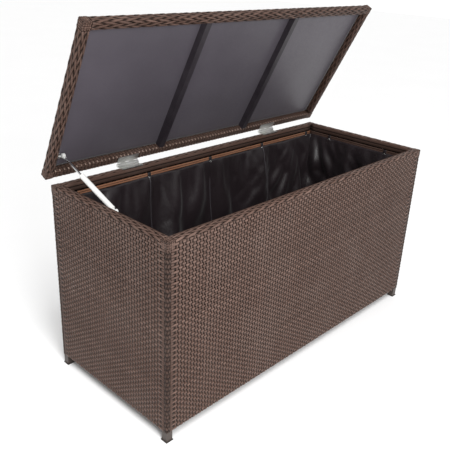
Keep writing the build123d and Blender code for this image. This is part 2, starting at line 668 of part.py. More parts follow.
def ball_socket(height, toward):
    """A cup across the strut, round a ball, with a neck that points along the strut."""
    with Locations(Location((0, 0, height), ALONG_X)):
        Cylinder(SOCKET_DIAMETER / 2, SOCKET_WIDTH)
    with Locations(Location((0, 0, height), (90 - 90 * toward, 0, 0))):
        Cylinder(SOCKET_NECK / 2, SOCKET_LENGTH, align=STARTS_AT_SEAT)
    with Locations((0, 0, height)):
        Sphere(BALL_DIAMETER / 2 + BALL_GAP, mode=Mode.SUBTRACT)
    with Locations(Location((0, 0, height), (0, -90, 0))):
        Cylinder(SOCKET_MOUTH / 2, SOCKET_WIDTH, align=STARTS_AT_SEAT, mode=Mode.SUBTRACT)


with BuildPart(STRUT) as lower_stud:
    ball_stud(0, BRACKET)
save(lower_stud, "strut_lower_ball_stud")
with BuildPart(STRUT) as lower_socket:
    ball_socket(0, 1)
save(lower_socket, "strut_lower_socket")
with BuildPart(STRUT) as cylinder:
    with Locations((0, 0, CYLINDER_START)):
        Cylinder(CYLINDER_DIAMETER / 2, CYLINDER_LENGTH, align=STARTS_AT_SEAT)
    with Locations((0, 0, CYLINDER_START + CYLINDER_END)):
        Cylinder(BORE / 2, CYLINDER_LENGTH, align=STARTS_AT_SEAT, mode=Mode.SUBTRACT)
    strut_axis = Axis(STRUT.origin, STRUT.z_dir)
    fillet(cylinder.faces().sort_by(strut_axis)[0].edges(), CYLINDER_END / 2)
save(cylinder, "strut_cylinder")
with BuildPart(STRUT) as rod_guide:
    with Locations((0, 0, CYLINDER_TOP)):
        Cylinder(BORE / 2, GUIDE_LENGTH, align=ENDS_AT_SEAT)
        Cylinder(ROD_DIAMETER / 2 + ROD_GAP, GUIDE_LENGTH, align=ENDS_AT_SEAT, mode=Mode.SUBTRACT)
save(rod_guide, "strut_rod_guide")
with BuildPart(STRUT) as piston:
    with Locations((0, 0, PISTON_TOP)):
        Cylinder(BORE / 2 - ROD_GAP, PISTON_LENGTH, align=ENDS_AT_SEAT)
        Cylinder(ROD_DIAMETER / 2, PISTON_LENGTH, align=ENDS_AT_SEAT, mode=Mode.SUBTRACT)
save(piston, "strut_piston")
with BuildPart(STRUT) as rod:
    with Locations((0, 0, PISTON_TOP - PISTON_LENGTH)):
        Cylinder(
            ROD_DIAMETER / 2,
            STRUT_OPEN - SOCKET_LENGTH - PISTON_TOP + PISTON_LENGTH,
            align=STARTS_AT_SEAT,
        )
save(rod, "strut_piston_rod")
with BuildPart(STRUT) as upper_socket:
    ball_socket(STRUT_OPEN, -1)
save(upper_socket, "strut_upper_socket")
with BuildPart(STRUT) as upper_stud:
    ball_stud(STRUT_OPEN, 0)
save(upper_stud, "strut_upper_ball_stud")
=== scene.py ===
# %% [markdown]
# # A wicker deck box
# The box is a frame of square tube with flat plastic strips woven and wound over it.
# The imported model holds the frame, the hinges, the gas strut and every size.
# This notebook adds what a maker adds by hand: the weave, the braided edges, the cloth
# liner and the lid's lining. It begins by loading the frame and noting its outer size.

# %% Load the frame
import json
from math import radians

import bpy
import numpy as np
from mathutils import Matrix, Vector


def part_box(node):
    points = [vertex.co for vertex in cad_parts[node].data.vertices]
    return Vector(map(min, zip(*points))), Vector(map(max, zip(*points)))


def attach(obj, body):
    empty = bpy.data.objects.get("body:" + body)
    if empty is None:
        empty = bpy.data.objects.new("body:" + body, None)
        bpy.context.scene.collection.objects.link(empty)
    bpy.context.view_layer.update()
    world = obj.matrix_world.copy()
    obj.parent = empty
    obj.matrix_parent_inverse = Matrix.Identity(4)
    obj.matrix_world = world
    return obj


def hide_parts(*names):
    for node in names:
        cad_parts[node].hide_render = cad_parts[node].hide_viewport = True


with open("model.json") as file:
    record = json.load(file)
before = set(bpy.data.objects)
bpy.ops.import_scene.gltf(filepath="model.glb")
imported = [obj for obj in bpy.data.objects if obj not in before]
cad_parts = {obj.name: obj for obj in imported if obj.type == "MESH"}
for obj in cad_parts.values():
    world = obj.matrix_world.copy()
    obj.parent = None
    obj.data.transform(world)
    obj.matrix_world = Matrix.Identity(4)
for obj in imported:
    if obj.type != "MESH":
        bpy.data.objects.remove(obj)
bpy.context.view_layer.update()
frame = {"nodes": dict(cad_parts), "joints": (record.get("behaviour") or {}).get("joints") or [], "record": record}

MM = 0.001
X, Y, Z = 0, 1, 2
UP = np.array([0.0, 0.0, 1.0])

# %% [markdown]
# The camera comes first, because every later choice is judged through it. It stands to
# the left of the box and a little above, close enough for strong perspective. It is
# placed from the middle of the box's floor, then turned by three plain angles: round
# the upright axis, down towards the box, and a small roll.

# %% Camera
floor_low, floor_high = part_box("base_weave")
MIDDLE = np.array([(floor_low[0] + floor_high[0]) / 2, (floor_low[1] + floor_high[1]) / 2, 0.0])
CAMERA_FROM_MIDDLE = np.array([-1.4513, -1.2302, 1.2123])
CAMERA_BEARING = radians(46.99)
CAMERA_DOWN = radians(23.43)
CAMERA_ROLL = radians(2.68)
CAMERA_LENS = 49.65
CAMERA_SHIFT = (-0.0057, -0.0021)


def camera_axes(bearing, down, roll):
    """Right, up and back of a camera: forward is level at the bearing and tipped down,
    right lies level across it, and both right and up are then rolled about forward."""
    forward = np.array([
        np.sin(bearing) * np.cos(down),
        np.cos(bearing) * np.cos(down),
        -np.sin(down),
    ])
    level = np.array([np.cos(bearing), -np.sin(bearing), 0.0])
    above = np.cross(level, forward)
    right = level * np.cos(roll) + above * np.sin(roll)
    up = above * np.cos(roll) - level * np.sin(roll)
    return right, up, -forward


camera_data = bpy.data.cameras.new("camera")
camera_data.lens = CAMERA_LENS
camera_data.sensor_width = 36.0
camera_data.shift_x, camera_data.shift_y = CAMERA_SHIFT
camera = bpy.data.objects.new("camera", camera_data)
bpy.context.collection.objects.link(camera)
axes = camera_axes(CAMERA_BEARING, CAMERA_DOWN, CAMERA_ROLL)
camera_matrix = np.eye(4)
camera_matrix[:3, :3] = np.array(axes).T
camera_matrix[:3, 3] = MIDDLE + CAMERA_FROM_MIDDLE
camera.matrix_world = Matrix(camera_matrix.tolist())
bpy.context.scene.camera = camera
print("camera", [round(float(v), 3) for v in camera.matrix_world.translation])

# %% [markdown]
# The lid leans back on its hinges, so its parts are easiest to make flat. A home is an
# origin and three axes: the body's home is the room itself, and the lid's home lies
# along the hinge. The lid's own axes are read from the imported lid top: a flat slab is
# thinnest along its normal, which is what the smallest principal direction finds.

# %% Homes
HINGE = next(j for j in frame["joints"] if j["name"] == "lid_hinge")


def node_points(node):
    """The corners of a node's mesh in the room's axes, as an n by 3 array."""
    mesh = frame["nodes"][node].data
    points = np.empty(len(mesh.vertices) * 3)
    mesh.vertices.foreach_get("co", points)
    return points.reshape(-1, 3)


def lid_axes():
    """Rows along the lid, across it from front to hinge, and out through its top."""
    top = node_points("lid_weave")
    spread = top - (top.min(axis=0) + top.max(axis=0)) / 2
    _, directions = np.linalg.eigh(spread.T @ spread)
    normal = directions[:, 0] * np.sign(directions[2, 0])
    along = np.array([1.0, 0.0, 0.0])
    return np.array([along, np.cross(normal, along), normal])


BODY_HOME = (MIDDLE, np.eye(3))
LID_HOME = (np.array(HINGE["pos_m"]), lid_axes())


def home_box(home, node):
    """Lowest and highest corner of a node in a home's own axes."""
    origin, rows = home
    local = (node_points(node) - origin) @ rows.T
    return local.min(axis=0), local.max(axis=0)


def to_room(home, points):
    """Points in a home's axes, carried into the room."""
    origin, rows = home
    return points @ rows + origin


print("lid leans back", round(float(np.degrees(np.arccos(LID_HOME[1][2][2]))), 2), "degrees")

# %% [markdown]
# Most pieces here are ribbons. A ribbon is a closed outline carried along a path, which
# gives a grid of points: one row per step along the path, one column per point of the
# outline. Many ribbons that share the same counts can be one array, so a whole wall of
# strips is worked out in a few lines and handed to Blender at once.

# %% Mesh from grids
def grid_faces(strips, steps, ring):
    """Quads of many closed tubes: each joins step i to i + 1 and ring point j to j + 1,
    with the last ring point joined to the first."""
    base = (np.arange(strips) * steps * ring)[:, None, None]
    i = (np.arange(steps - 1) * ring)[None, :, None]
    j = np.arange(ring)[None, None, :]
    k = ((np.arange(ring) + 1) % ring)[None, None, :]
    quads = np.stack([base + i + j, base + i + k, base + i + ring + k, base + i + ring + j], axis=-1)
    return quads.reshape(-1, 4)


def sheet_faces(ids):
    """Quads of an open sheet whose point numbers stand in a grid."""
    corners = [ids[:-1, :-1], ids[:-1, 1:], ids[1:, 1:], ids[1:, :-1]]
    return np.stack(corners, axis=-1).reshape(-1, 4)


def cap_faces(strips, steps, ring):
    """The two end faces of each tube, as polygons with as many corners as the ring."""
    base = (np.arange(strips) * steps * ring)[:, None]
    first = base + np.arange(ring)[None, ::-1]
    last = base + (steps - 1) * ring + np.arange(ring)[None, :]
    return np.concatenate([first, last])


def new_object(name, points, quads, caps=None, smooth=True):
    """A mesh object from arrays of points, four-cornered faces and end caps."""
    mesh = bpy.data.meshes.new(name)
    corners = quads.reshape(-1)
    starts = np.arange(len(quads)) * 4
    if caps is not None:
        starts = np.concatenate([starts, len(corners) + np.arange(len(caps)) * caps.shape[1]])
        corners = np.concatenate([corners, caps.reshape(-1)])
    mesh.vertices.add(len(points))
    mesh.vertices.foreach_set("co", np.ascontiguousarray(points, dtype=np.float32).reshape(-1))
    mesh.loops.add(len(corners))
    mesh.loops.foreach_set("vertex_index", corners.astype(np.int32))
    mesh.polygons.add(len(starts))
    mesh.polygons.foreach_set("loop_start", starts.astype(np.int32))
    mesh.update(calc_edges=True)
    mesh.validate()
    mesh.polygons.foreach_set("use_smooth", np.full(len(mesh.polygons), smooth))
    thing = bpy.data.objects.new(name, mesh)
    bpy.context.collection.objects.link(thing)
    return thing


def paint_points(thing, name, values):
    """Stores one number per point as an attribute that a material can read."""
    layer = thing.data.attributes.new(name, "FLOAT", "POINT")
    layer.data.foreach_set("value", np.ascontiguousarray(values, dtype=np.float32).reshape(-1))


def lay_uv(thing, pairs):
    """A UV map from one (u, v) pair per point."""
    layer = thing.data.uv_layers.new(name="strip")
    index = np.empty(len(thing.data.loops), dtype=np.int32)
    thing.data.loops.foreach_get("vertex_index", index)
    layer.data.foreach_set("uv", np.ascontiguousarray(pairs[index], dtype=np.float32).reshape(-1))


# %% [markdown]
# A strip of flat plastic wicker is about 7 mm wide and 1 mm thick, with rounded edges
# and a slightly domed face. Its outline needs only six points. Shaded smooth, six
# points already look like a pressed plastic strip, and the wall needs thousands of them.

# %% Strip outline
STRIP_THICKNESS = 1.0 * MM
WEAVER_OUTLINE = np.array([
    (-0.50, -0.12), (-0.30, -0.50), (0.30, -0.50), (0.50, -0.12), (0.26, 0.50), (-0.26, 0.50),
])
STAKE_OUTLINE = np.array([(-0.50, 0.00), (0.00, -0.55), (0.50, 0.00), (0.00, 0.55)])
SHADE_SPREAD = 0.16
REEL = 5.0


def ring_edge(ring):
    """How near the strip's edge each outline point is: 0 in the middle, 1 at the edge."""
    outline = WEAVER_OUTLINE if ring == len(WEAVER_OUTLINE) else STAKE_OUTLINE
    return np.abs(outline[:, 0] * 2.0)


def strip_shades(rng, count, middle=0.5):
    """One shade per strip: most are near the middle, a few are clearly lighter or darker."""
    return np.clip(rng.normal(middle, SHADE_SPREAD, count), 0.0, 1.0)


def reel_start(rng, count):
    """Where on its reel each strip was cut, in metres, as a column. It moves the grain
    along, so that no two strips carry the same streaks."""
    return rng.uniform(0, REEL, count)[:, None]


# %% [markdown]
# In a plain weave the level strips, the weavers, pass in front of one upright stake and
# behind the next, and each row does the opposite of its neighbours. The stakes are
# stiff, so they stay almost straight, and the weavers do the bending: each makes a short
# hump over a stake and then dives behind the next one, where the stake shows instead.
# Between the stakes both strips lie low, so dark upright gaps part the humps into
# columns. Making the strips as geometry, and not as a bump pattern, gives true gaps,
# shadows and a true edge against the light, and on top of that the dips are darkened
# with painted shade. A swing is how far a strip leaves the middle of the panel, a lift is
# a share of that swing, and the painted shade is 0 on top and 1 underneath.

# %% Woven panel
ROW_PITCH, WEAVER_WIDTH, WEAVER_SWING = 7.4 * MM, 7.3 * MM, 0.95 * MM
STAKE_PITCH, STAKE_WIDTH, STAKE_SWING = 11.5 * MM, 6.4 * MM, 0.25 * MM
# A little painted shade on the stakes, which show in the dips between the humps.
STAKE_PAINTED_SHADE = 0.20
FLOOR_PITCH = 1.35
POST_LAP, LAP_LIFT = 13.0 * MM, 0.50
HALF_BEND = 0.30
WEAVER_STEPS = np.array([0.5 - HALF_BEND, 0.5 + HALF_BEND, 1.5 - HALF_BEND, 1.5 + HALF_BEND])
WEAVER_LIFTS = np.array([1.0, 1.0, -1.0, -1.0])
END_ROOM = 0.1
FLAT_TOP = 1.42
LIFT_JITTER, ROW_JITTER = 0.05 * MM, 0.12 * MM
WEAVER_VARIES, STAKE_VARIES = 0.015, 0.03


def weaver_path(parity, stakes, lap):
    """Where a weaver's points are along it, in stake spacings, and how far each lies in
    front of the stakes. A pattern of four points, the two ends of a hump over one stake
    and of a dip behind the next, repeats over two stakes, moved on by one stake in each
    second row. At both ends the weaver runs on, level, and laps over the corner post."""
    pairs = np.arange(-1, stakes // 2 + 2) * 2
    along = (pairs[:, None] + WEAVER_STEPS).reshape(-1) - parity
    lift = np.tile(WEAVER_LIFTS, len(pairs))
    inside = (along > END_ROOM) & (along < stakes - END_ROOM)
    ends = np.array([-lap, -0.5 * lap])
    path = np.concatenate([ends, along[inside], stakes - ends[::-1]])
    return path, np.concatenate([[LAP_LIFT] * 2, lift[inside], [LAP_LIFT] * 2])


def crossing_wave(position, row, swing):
    """swing times a flattened sine that changes sign from one crossing to the next
    along the strip, and from one strip to the next across the panel."""
    return swing * np.clip(FLAT_TOP * np.sin(np.pi * (position + row)), -1.0, 1.0)


def depth_under(wave):
    """The painted shade of a strip: 0 where it is on top and its wave is 1, and 1 where it is under and that is
    -1.
    """
    return np.clip(0.5 - 0.5 * wave, 0.0, 1.0)


def strips_on_plane(outline, across, along, lift, width, thickness):
    """Grid of strips x steps x outline x 3 in panel axes (along, across, out). Each outline
    point is the strip's centre, plus its share of the width across the strip, plus its
    share of the thickness out of the panel."""
    strips, steps = lift.shape
    grid = np.empty((strips, steps, len(outline), 3))
    grid[..., 0] = np.broadcast_to(along, lift.shape)[..., None]
    grid[..., 1] = across[..., None] + outline[:, 0] * width[:, None, None]
    grid[..., 2] = lift[..., None] + outline[:, 1] * thickness
    return grid


def as_part(home, grid, shades, lengths, painted_shade):
    """A grid of strips x steps x ring x 3 in a home's axes, as points, faces, end caps,
    shades, UVs and painted shade in the room. The painted shade is 1 where a strip lies
    under others, and darkens its colour there. The UV runs along the strip, and from 0 at
    its middle line to 1 at its edges. A mirrored grid would be inside out, so the sign of
    the enclosed volume, a sum of a . (b x c) over the faces, says whether to turn the faces round."""
    strips, steps, ring, _ = grid.shape
    points = to_room(home, grid.reshape(-1, 3))
    quads, caps = grid_faces(strips, steps, ring), cap_faces(strips, steps, ring)
    a, b, c, d = points[quads].transpose(1, 0, 2)
    volume = np.einsum("ij,ij->", a, np.cross(b, c)) + np.einsum("ij,ij->", a, np.cross(c, d))
    hub = points[caps].mean(axis=1)
    for k in range(ring):
        first, second = points[caps[:, k]], points[caps[:, (k + 1) % ring]]
        volume += np.einsum("ij,ij->", hub, np.cross(first, second))
    if volume < 0:
        quads, caps = quads[:, ::-1], caps[:, ::-1]
    u = np.broadcast_to(lengths[..., None], (strips, steps, ring))
    v = np.broadcast_to(ring_edge(ring), (strips, steps, ring))
    uv = np.stack([u, v], axis=-1).reshape(-1, 2)
    # depth here is the painted shade at each point.
    depth = np.broadcast_to(np.asarray(painted_shade)[..., None], (strips, steps, ring)).reshape(-1)
    return points, quads, caps, np.repeat(shades, steps * ring), uv, depth


def join_parts(name, parts):
    """One object from several parts, each part's faces moved on by the points before it."""
    starts = np.cumsum([0] + [len(p[0]) for p in parts[:-1]])
    points = np.concatenate([p[0] for p in parts])
    quads = np.concatenate([p[1] + s for p, s in zip(parts, starts)])
    caps = np.concatenate([p[2] + s for p, s in zip(parts, starts)])
    thing = new_object(name, points, quads, caps)
    paint_points(thing, "shade", np.concatenate([p[3] for p in parts]))
    lay_uv(thing, np.concatenate([p[4] for p in parts]))
    # The painted shade, which the wicker material reads to darken strips under others.
    paint_points(thing, "painted_shade", np.concatenate([p[5] for p in parts]))
    return thing


def dress(thing, body, slot, *nodes):
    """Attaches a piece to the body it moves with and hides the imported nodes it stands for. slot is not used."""
    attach(thing, body)
    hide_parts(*nodes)
    return thing


def woven_panel(name, home, node, along, across, out, seed, body, pitch=1.0, lap=0.0):
    """A plain weave over a node's box. along and across are the home axes that the weavers
    run on and step over, and out is the axis and sign that the panel faces. lap is how far
    the weavers run on past the box at each end."""
    low, high = home_box(home, node)
    out_axis, out_sign = out
    length, height = high[along] - low[along], high[across] - low[across]
    rows = max(3, int(round(height / (ROW_PITCH * pitch))))
    stakes = max(3, int(round(length / (STAKE_PITCH * pitch))))
    row_pitch, stake_pitch = height / rows, length / stakes
    rng = np.random.default_rng(seed)
    corner = low.copy()
    corner[out_axis] = (low[out_axis] + high[out_axis]) / 2

    def in_home(grid, first, second):
        """Turns a grid in panel axes to the home's axes, from the panel's lowest corner."""
        turned = np.empty_like(grid)
        turned[..., first] = grid[..., 0] + corner[first]
        turned[..., second] = grid[..., 1] + corner[second]
        turned[..., out_axis] = grid[..., 2] * out_sign + corner[out_axis]
        return turned

    weavers = []
    for parity in (0, 1):
        row = np.arange(parity, rows, 2)
        steps, wave = weaver_path(parity, stakes, lap / stake_pitch)
        steps = steps * stake_pitch
        # Painted shade: 1 in the dips behind the stakes, 0 on the humps.
        painted_shade = np.broadcast_to(depth_under(wave), (len(row), len(steps)))
        lift = wave * WEAVER_SWING + rng.normal(0, LIFT_JITTER, painted_shade.shape)
        middle = (row[:, None] + 0.5) * row_pitch + rng.normal(0, ROW_JITTER, lift.shape)
        width = WEAVER_WIDTH / ROW_PITCH * row_pitch * rng.normal(1.0, WEAVER_VARIES, len(row))
        grid = strips_on_plane(WEAVER_OUTLINE, middle, steps, lift, width, STRIP_THICKNESS)
        lengths = steps + reel_start(rng, len(row))
        shades = strip_shades(rng, len(row))
        weavers.append(as_part(home, in_home(grid, along, across), shades, lengths, painted_shade))

    inner = (np.arange(rows) + 0.5) * row_pitch
    steps, stake = np.concatenate([[0.0], inner, [height]]), np.arange(stakes)
    lift = crossing_wave(steps / row_pitch, stake[:, None] + 1, STAKE_SWING)
    middle = (stake[:, None] + 0.5) * stake_pitch + np.zeros_like(lift)
    width = STAKE_WIDTH / STAKE_PITCH * stake_pitch * rng.normal(1.0, STAKE_VARIES, stakes)
    grid = strips_on_plane(STAKE_OUTLINE, middle, steps, lift, width, STRIP_THICKNESS)
    lengths = steps + reel_start(rng, stakes)
    # The stakes carry that painted shade all along.
    painted_shade = np.full(lift.shape, STAKE_PAINTED_SHADE)
    uprights = as_part(home, in_home(grid, across, along), strip_shades(rng, stakes), lengths, painted_shade)

    made = [join_parts(name + "_weavers", weavers), join_parts(name + "_stakes", [uprights])]
    for thing in made:
        dress(thing, body, "wicker", node)
    print(name, rows, "rows", stakes, "stakes", sum(len(t.data.polygons) for t in made), "faces")
    return made


wicker_pieces = []
for number, (where, along, out) in enumerate((
    ("front", X, (Y, -1.0)), ("back", X, (Y, 1.0)), ("left", Y, (X, -1.0)), ("right", Y, (X, 1.0)),
)):
    wicker_pieces += woven_panel(
        where + "_wall", BODY_HOME, where + "_weave", along, Z, out, 11 + number, "box", lap=POST_LAP)
wicker_pieces += woven_panel("lid_top", LID_HOME, "lid_weave", X, Y, (Z, 1.0), 15, "lid")
wicker_pieces += woven_panel(
    "floor", BODY_HOME, "base_weave", X, Y, (Z, -1.0), 16, "box", pitch=FLOOR_PITCH)

# %% [markdown]
# Every square tube is wound in a braid. Two families of strips spiral round it in
# opposite directions and pass over and under each other, so on the rails each strip
# shows as a long slanted leaf. The braid is drawn flat first, on the sheet that would
# unroll from the tube, and then a map carries the sheet round a square with rounded
# corners. That map is all that turns straight lines into a tidy winding.

# %% Round the tube
BRAID_HALF = 11.5 * MM
BRAID_CORNER = 4.0 * MM
STRANDS_ROUND = 12


def round_square(s, half, corner, lift):
    """The point at distance s round a square of a given half side with rounded corners,
    moved outwards by lift. Each quarter is one straight side and then one arc."""
    straight = 2 * (half - corner)
    quarter = straight + corner * np.pi / 2
    turn, local = np.divmod(s, quarter)
    angle = np.clip(local - straight, 0.0, None) / corner
    flat = np.clip(local, 0.0, straight) - (half - corner)
    flat = np.where(local > straight, half - corner, flat)
    reach = np.where(local > straight, half - corner, half)
    a = reach + np.where(local > straight, corner * np.cos(angle), 0.0) + lift * np.cos(angle)
    b = flat + np.where(local > straight, corner * np.sin(angle), 0.0) + lift * np.sin(angle)
    swing = turn % 4 * np.pi / 2
    return a * np.cos(swing) - b * np.sin(swing), a * np.sin(swing) + b * np.cos(swing)


def perimeter(half, corner):
    """Length once round the rounded square."""
    return 8 * (half - corner) + 2 * np.pi * corner


# %% [markdown]
# One family's strip i starts at i strand widths round the tube and moves round as it
# goes along. Where it meets strip j of the other family, i + j says which of the two is
# on top. On the rails each strip goes over two and under two, which gives the long
# leaves. On the posts and on the lid's hinge rail it goes over one and under one, with a
# steeper slope. Strips that lie under others get painted shade. The posts stand in the
# shade between two walls, so their strips get extra painted shade and a darker tone, and
# each tube has its own tone, the shade that most of its strips have.

# %% Braid
BRAID_LIFT = 0.9 * MM
BRAID_THICKNESS = 1.2 * MM
BRAID_FILL = 0.90
BRAID_FLAT_TOP = 1.2
BRAID_JITTER = 0.25 * MM
HIDDEN_DEPTH, HIDDEN_SLOPE = 9.4 * MM, 0.1
# Extra painted shade on the posts' strips, for the shade between two walls.
POST_PAINTED_SHADE = 0.22
RAIL_WEAVE = {"over": 2, "slope": 0.17, "step": 10 * MM}
POST_WEAVE = {"over": 1, "slope": 0.27, "step": 5.5 * MM}
HINGE_RAIL_WEAVE = {"over": 1, "slope": 0.30, "step": 5.0 * MM}
# The posts' low tone is painted shade too: their strips are darkened for the shade between the walls.
POST_PAINTED_TONE, LID_TONE, HINGE_RAIL_TONE, PLAIN_TONE = 0.1, 0.2, 0.05, 0.5
HALF_WRAP = 13.0 * MM
UNCOVERED = -1.0


def braid_part(home, run, out, side, span, centre, rng, over, slope, step, cover, bare_inside,
               on_post, tone):
    """One wound tube. out and side are (home axis, sign) pairs for the two directions
    across it. The height of a strip is a cosine of i + j with half length `over`, and the
    other family has the opposite sign. Below the line `cover` on the side axis, the out
    face is pressed into the tube, because a woven panel covers it there, and bare_inside
    hides the opposite face in the same way. on_post hides both outer faces alike, which
    leaves the braid showing along the corner only, and gives its strips extra painted
    shade. tone is the middle shade."""
    length = span[1] - span[0]
    total = perimeter(BRAID_HALF, BRAID_CORNER)
    strand = total / STRANDS_ROUND
    steps = np.linspace(0.0, length, max(4, int(round(length / step))) + 1)
    width = strand * BRAID_FILL / np.cos(np.arctan(slope))
    parts = []
    for family in (1, -1):
        index = np.arange(STRANDS_ROUND)[:, None]
        centre_s = index * strand + family * slope * steps[None, :]
        q = 2 * index + family * 2 * slope * steps[None, :] / strand
        wave = BRAID_FLAT_TOP * np.cos(np.pi / over * (q - (over - 1) / 2))
        wave = family * np.clip(wave, -1.0, 1.0)
        height = BRAID_LIFT * wave + rng.normal(0, LIFT_JITTER, wave.shape)
        centre_s = centre_s + rng.normal(0, BRAID_JITTER, centre_s.shape)
        s = centre_s[..., None] + WEAVER_OUTLINE[:, 0] * width
        lift = height[..., None] + WEAVER_OUTLINE[:, 1] * BRAID_THICKNESS
        a, b = round_square(np.mod(s, total), BRAID_HALF, BRAID_CORNER, lift)
        pressed = HIDDEN_DEPTH - HIDDEN_SLOPE * (a - HIDDEN_DEPTH)
        a = np.where((b < cover) & (a > HIDDEN_DEPTH), pressed, a)
        if on_post:
            b = np.where((a < cover) & (b > HIDDEN_DEPTH), HIDDEN_DEPTH, b)
        if bare_inside:
            pressed = -HIDDEN_DEPTH - HIDDEN_SLOPE * (a + HIDDEN_DEPTH)
            a = np.where(a < -HIDDEN_DEPTH, pressed, a)
        grid = np.empty(s.shape + (3,))
        grid[..., run] = span[0] + steps[None, :, None]
        grid[..., out[0]] = centre[0] + out[1] * a
        grid[..., side[0]] = centre[1] + side[1] * b
        lengths = steps[None, :] + reel_start(rng, STRANDS_ROUND)
        # Painted shade under other strips, and more of it on a post.
        painted_shade = depth_under(wave - 2 * POST_PAINTED_SHADE if on_post else wave)
        shades = strip_shades(rng, STRANDS_ROUND, tone)
        parts.append(as_part(home, grid, shades, lengths, painted_shade))
    return parts


def braid(name, home, body, node, seed, weave, run, out, side, span, centre,
          cover=UNCOVERED, bare_inside=False, on_post=False, tone=PLAIN_TONE):
    """A named wound tube that stands for part of a packed wrap."""
    rng = np.random.default_rng(seed)
    parts = braid_part(
        home, run, out, side, span, centre, rng, cover=cover, bare_inside=bare_inside,
        on_post=on_post, tone=tone, **weave)
    thing = dress(join_parts(name, parts), body, "wicker", node)
    print(name, "faces", len(thing.data.polygons))
    return thing


# %% [markdown]
# The box's rim: four wound rails between the corner posts. The walls' weave laps over
# the rails' outer side up to 10 mm below the top, so only a band of braid shows there.
# The four rails at the foot of the walls are wound in the same way, and there the weave
# covers the whole outer side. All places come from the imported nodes, so the braid
# follows any change of size.

# %% Rim
RIM_BAND = 10.0 * MM
rim_low, rim_high = home_box(BODY_HOME, "rim_wrap_front")
body_low = np.minimum(home_box(BODY_HOME, "front_weave")[0], home_box(BODY_HOME, "left_weave")[0])
body_high = np.maximum(home_box(BODY_HOME, "back_weave")[1], home_box(BODY_HOME, "right_weave")[1])
rim_top, rim_height = rim_high[Z], rim_high[Z] - HALF_WRAP
long_span = (rim_low[X], rim_high[X])
side_low, side_high = home_box(BODY_HOME, "rim_wrap_left")
short_span = (side_low[Y], side_high[Y])
cover = HALF_WRAP - RIM_BAND
front_y, back_y = body_low[Y] + HALF_WRAP, body_high[Y] - HALF_WRAP
left_x, right_x = body_low[X] + HALF_WRAP, body_high[X] - HALF_WRAP
bottom_low, bottom_high = home_box(BODY_HOME, "bottom_rail_wraps")
bottom_height = (bottom_low[Z] + bottom_high[Z]) / 2

sides = (
    ("front", X, (Y, -1), long_span, front_y), ("back", X, (Y, 1), long_span, back_y),
    ("left", Y, (X, -1), short_span, left_x), ("right", Y, (X, 1), short_span, right_x),
)
for level, first_seed, height, line, node in (
    ("rim", 30, rim_height, cover, "rim_wrap_{}"),
    ("base", 40, bottom_height, 2 * HALF_WRAP, "bottom_rail_wraps"),
):
    for number, (where, run, out, span, centre) in enumerate(sides):
        wicker_pieces.append(braid(
            f"{level}_braid_{where}", BODY_HOME, "box", node.format(where), first_seed + number,
            RAIL_WEAVE, run, out, (Z, 1), span, (centre, height), line, level == "rim",
        ))


# %% [markdown]
# Inside the box the rim looks smooth: two broad strips run straight along each rail's
# inner face, darkened a little with painted shade, and a pair under them clamps the
# liner's hem. That pair is lighter on three sides, and at the right end it is painted
# nearly black, as painted shade where the rail shades it. Each strip is a ribbon with a
# slow waver in its height, so that it isn't ruler-straight.

# %% Inner bands
BAND_STRIPS = (
    (6.6, 11.6, 0.35, 0.22, True), (-6.2, 12.0, 0.10, 0.42, True),
    (-16.8, 6.4, 1.0, 0.0, False), (-23.4, 6.4, 0.8, 0.0, False),
)
RAIL_STAND, CLAMP_STAND = HALF_WRAP - 0.9 * MM, HALF_WRAP + 2.9 * MM
BAND_STEP, BAND_THICKNESS = 18 * MM, 1.2 * MM
BAND_WAVER, BAND_JITTER = 0.25 * MM, 0.08 * MM
# Tone of the right end's strips: they are painted dark, as painted shade under the rail.
SHADED_TONE = 0.1


def band_parts(run, out, span, centre, rng, wanted_on_rail, tone=1.0):
    """Flat strips along a rail's inner face, or hung below it. Each row of BAND_STRIPS gives
    a strip's height from the rail's middle and its width in millimetres, its shade and
    its painted shade, and whether it lies on the rail. tone darkens them and adds painted
    shade, for the strips that the rail shades. A strip's line is level plus a small
    smooth random waver."""
    parts = []
    length = span[1] - span[0]
    steps = np.linspace(0.0, length, int(round(length / BAND_STEP)) + 1)
    for height, width, shade, painted_shade, on_rail in BAND_STRIPS:
        if on_rail != wanted_on_rail:
            continue
        waver = rng.normal(0, BAND_WAVER, len(steps))
        waver = np.convolve(waver, [0.25, 0.5, 0.25], mode="same")
        middle = (rim_height + height * MM + waver)[None, :]
        stand = RAIL_STAND if on_rail else CLAMP_STAND
        lift = np.full_like(middle, stand) + rng.normal(0, BAND_JITTER, middle.shape)
        size = np.array([width * MM])
        flat = strips_on_plane(WEAVER_OUTLINE, middle, steps, lift, size, BAND_THICKNESS)
        grid = np.empty_like(flat)
        grid[..., run] = flat[..., 0] + span[0]
        grid[..., Z] = flat[..., 1]
        grid[..., out[0]] = centre - out[1] * flat[..., 2]
        lengths = steps[None, :] + reel_start(rng, 1)
        # Painted shade: the row's own amount, and more where a low tone stands for the rail's shade.
        band_painted_shade = 0 * lengths + painted_shade + 0.25 * (1.0 - tone)
        parts.append(as_part(BODY_HOME, grid, np.array([shade * tone]), lengths, band_painted_shade))
    return parts


rng = np.random.default_rng(45)
parts, clamps = [], []
for where, run, out, span, centre in sides:
    parts += band_parts(run, out, span, centre, rng, True)
    clamp = band_parts(run, out, span, centre, rng, False, SHADED_TONE if where == "right" else 1.0)
    if where == "right":
        parts += clamp
    else:
        clamps += clamp
wicker_pieces.append(dress(join_parts("rim_inner_bands", parts), "box", "wicker", "rim_wrap_back"))
clamp_strips = dress(join_parts("liner_clamp_strips", clamps), "box", "wicker", "rim_wrap_back")
print("inner bands", len(parts), "clamp strips", len(clamps))

# %% [markdown]
# The corner posts are wound like the rails, but the walls' weavers lap over both of a
# post's outer faces, so only a narrow band shows along the corner itself. Under the laps
# the braid is pressed into the tube, because it would come through them otherwise.

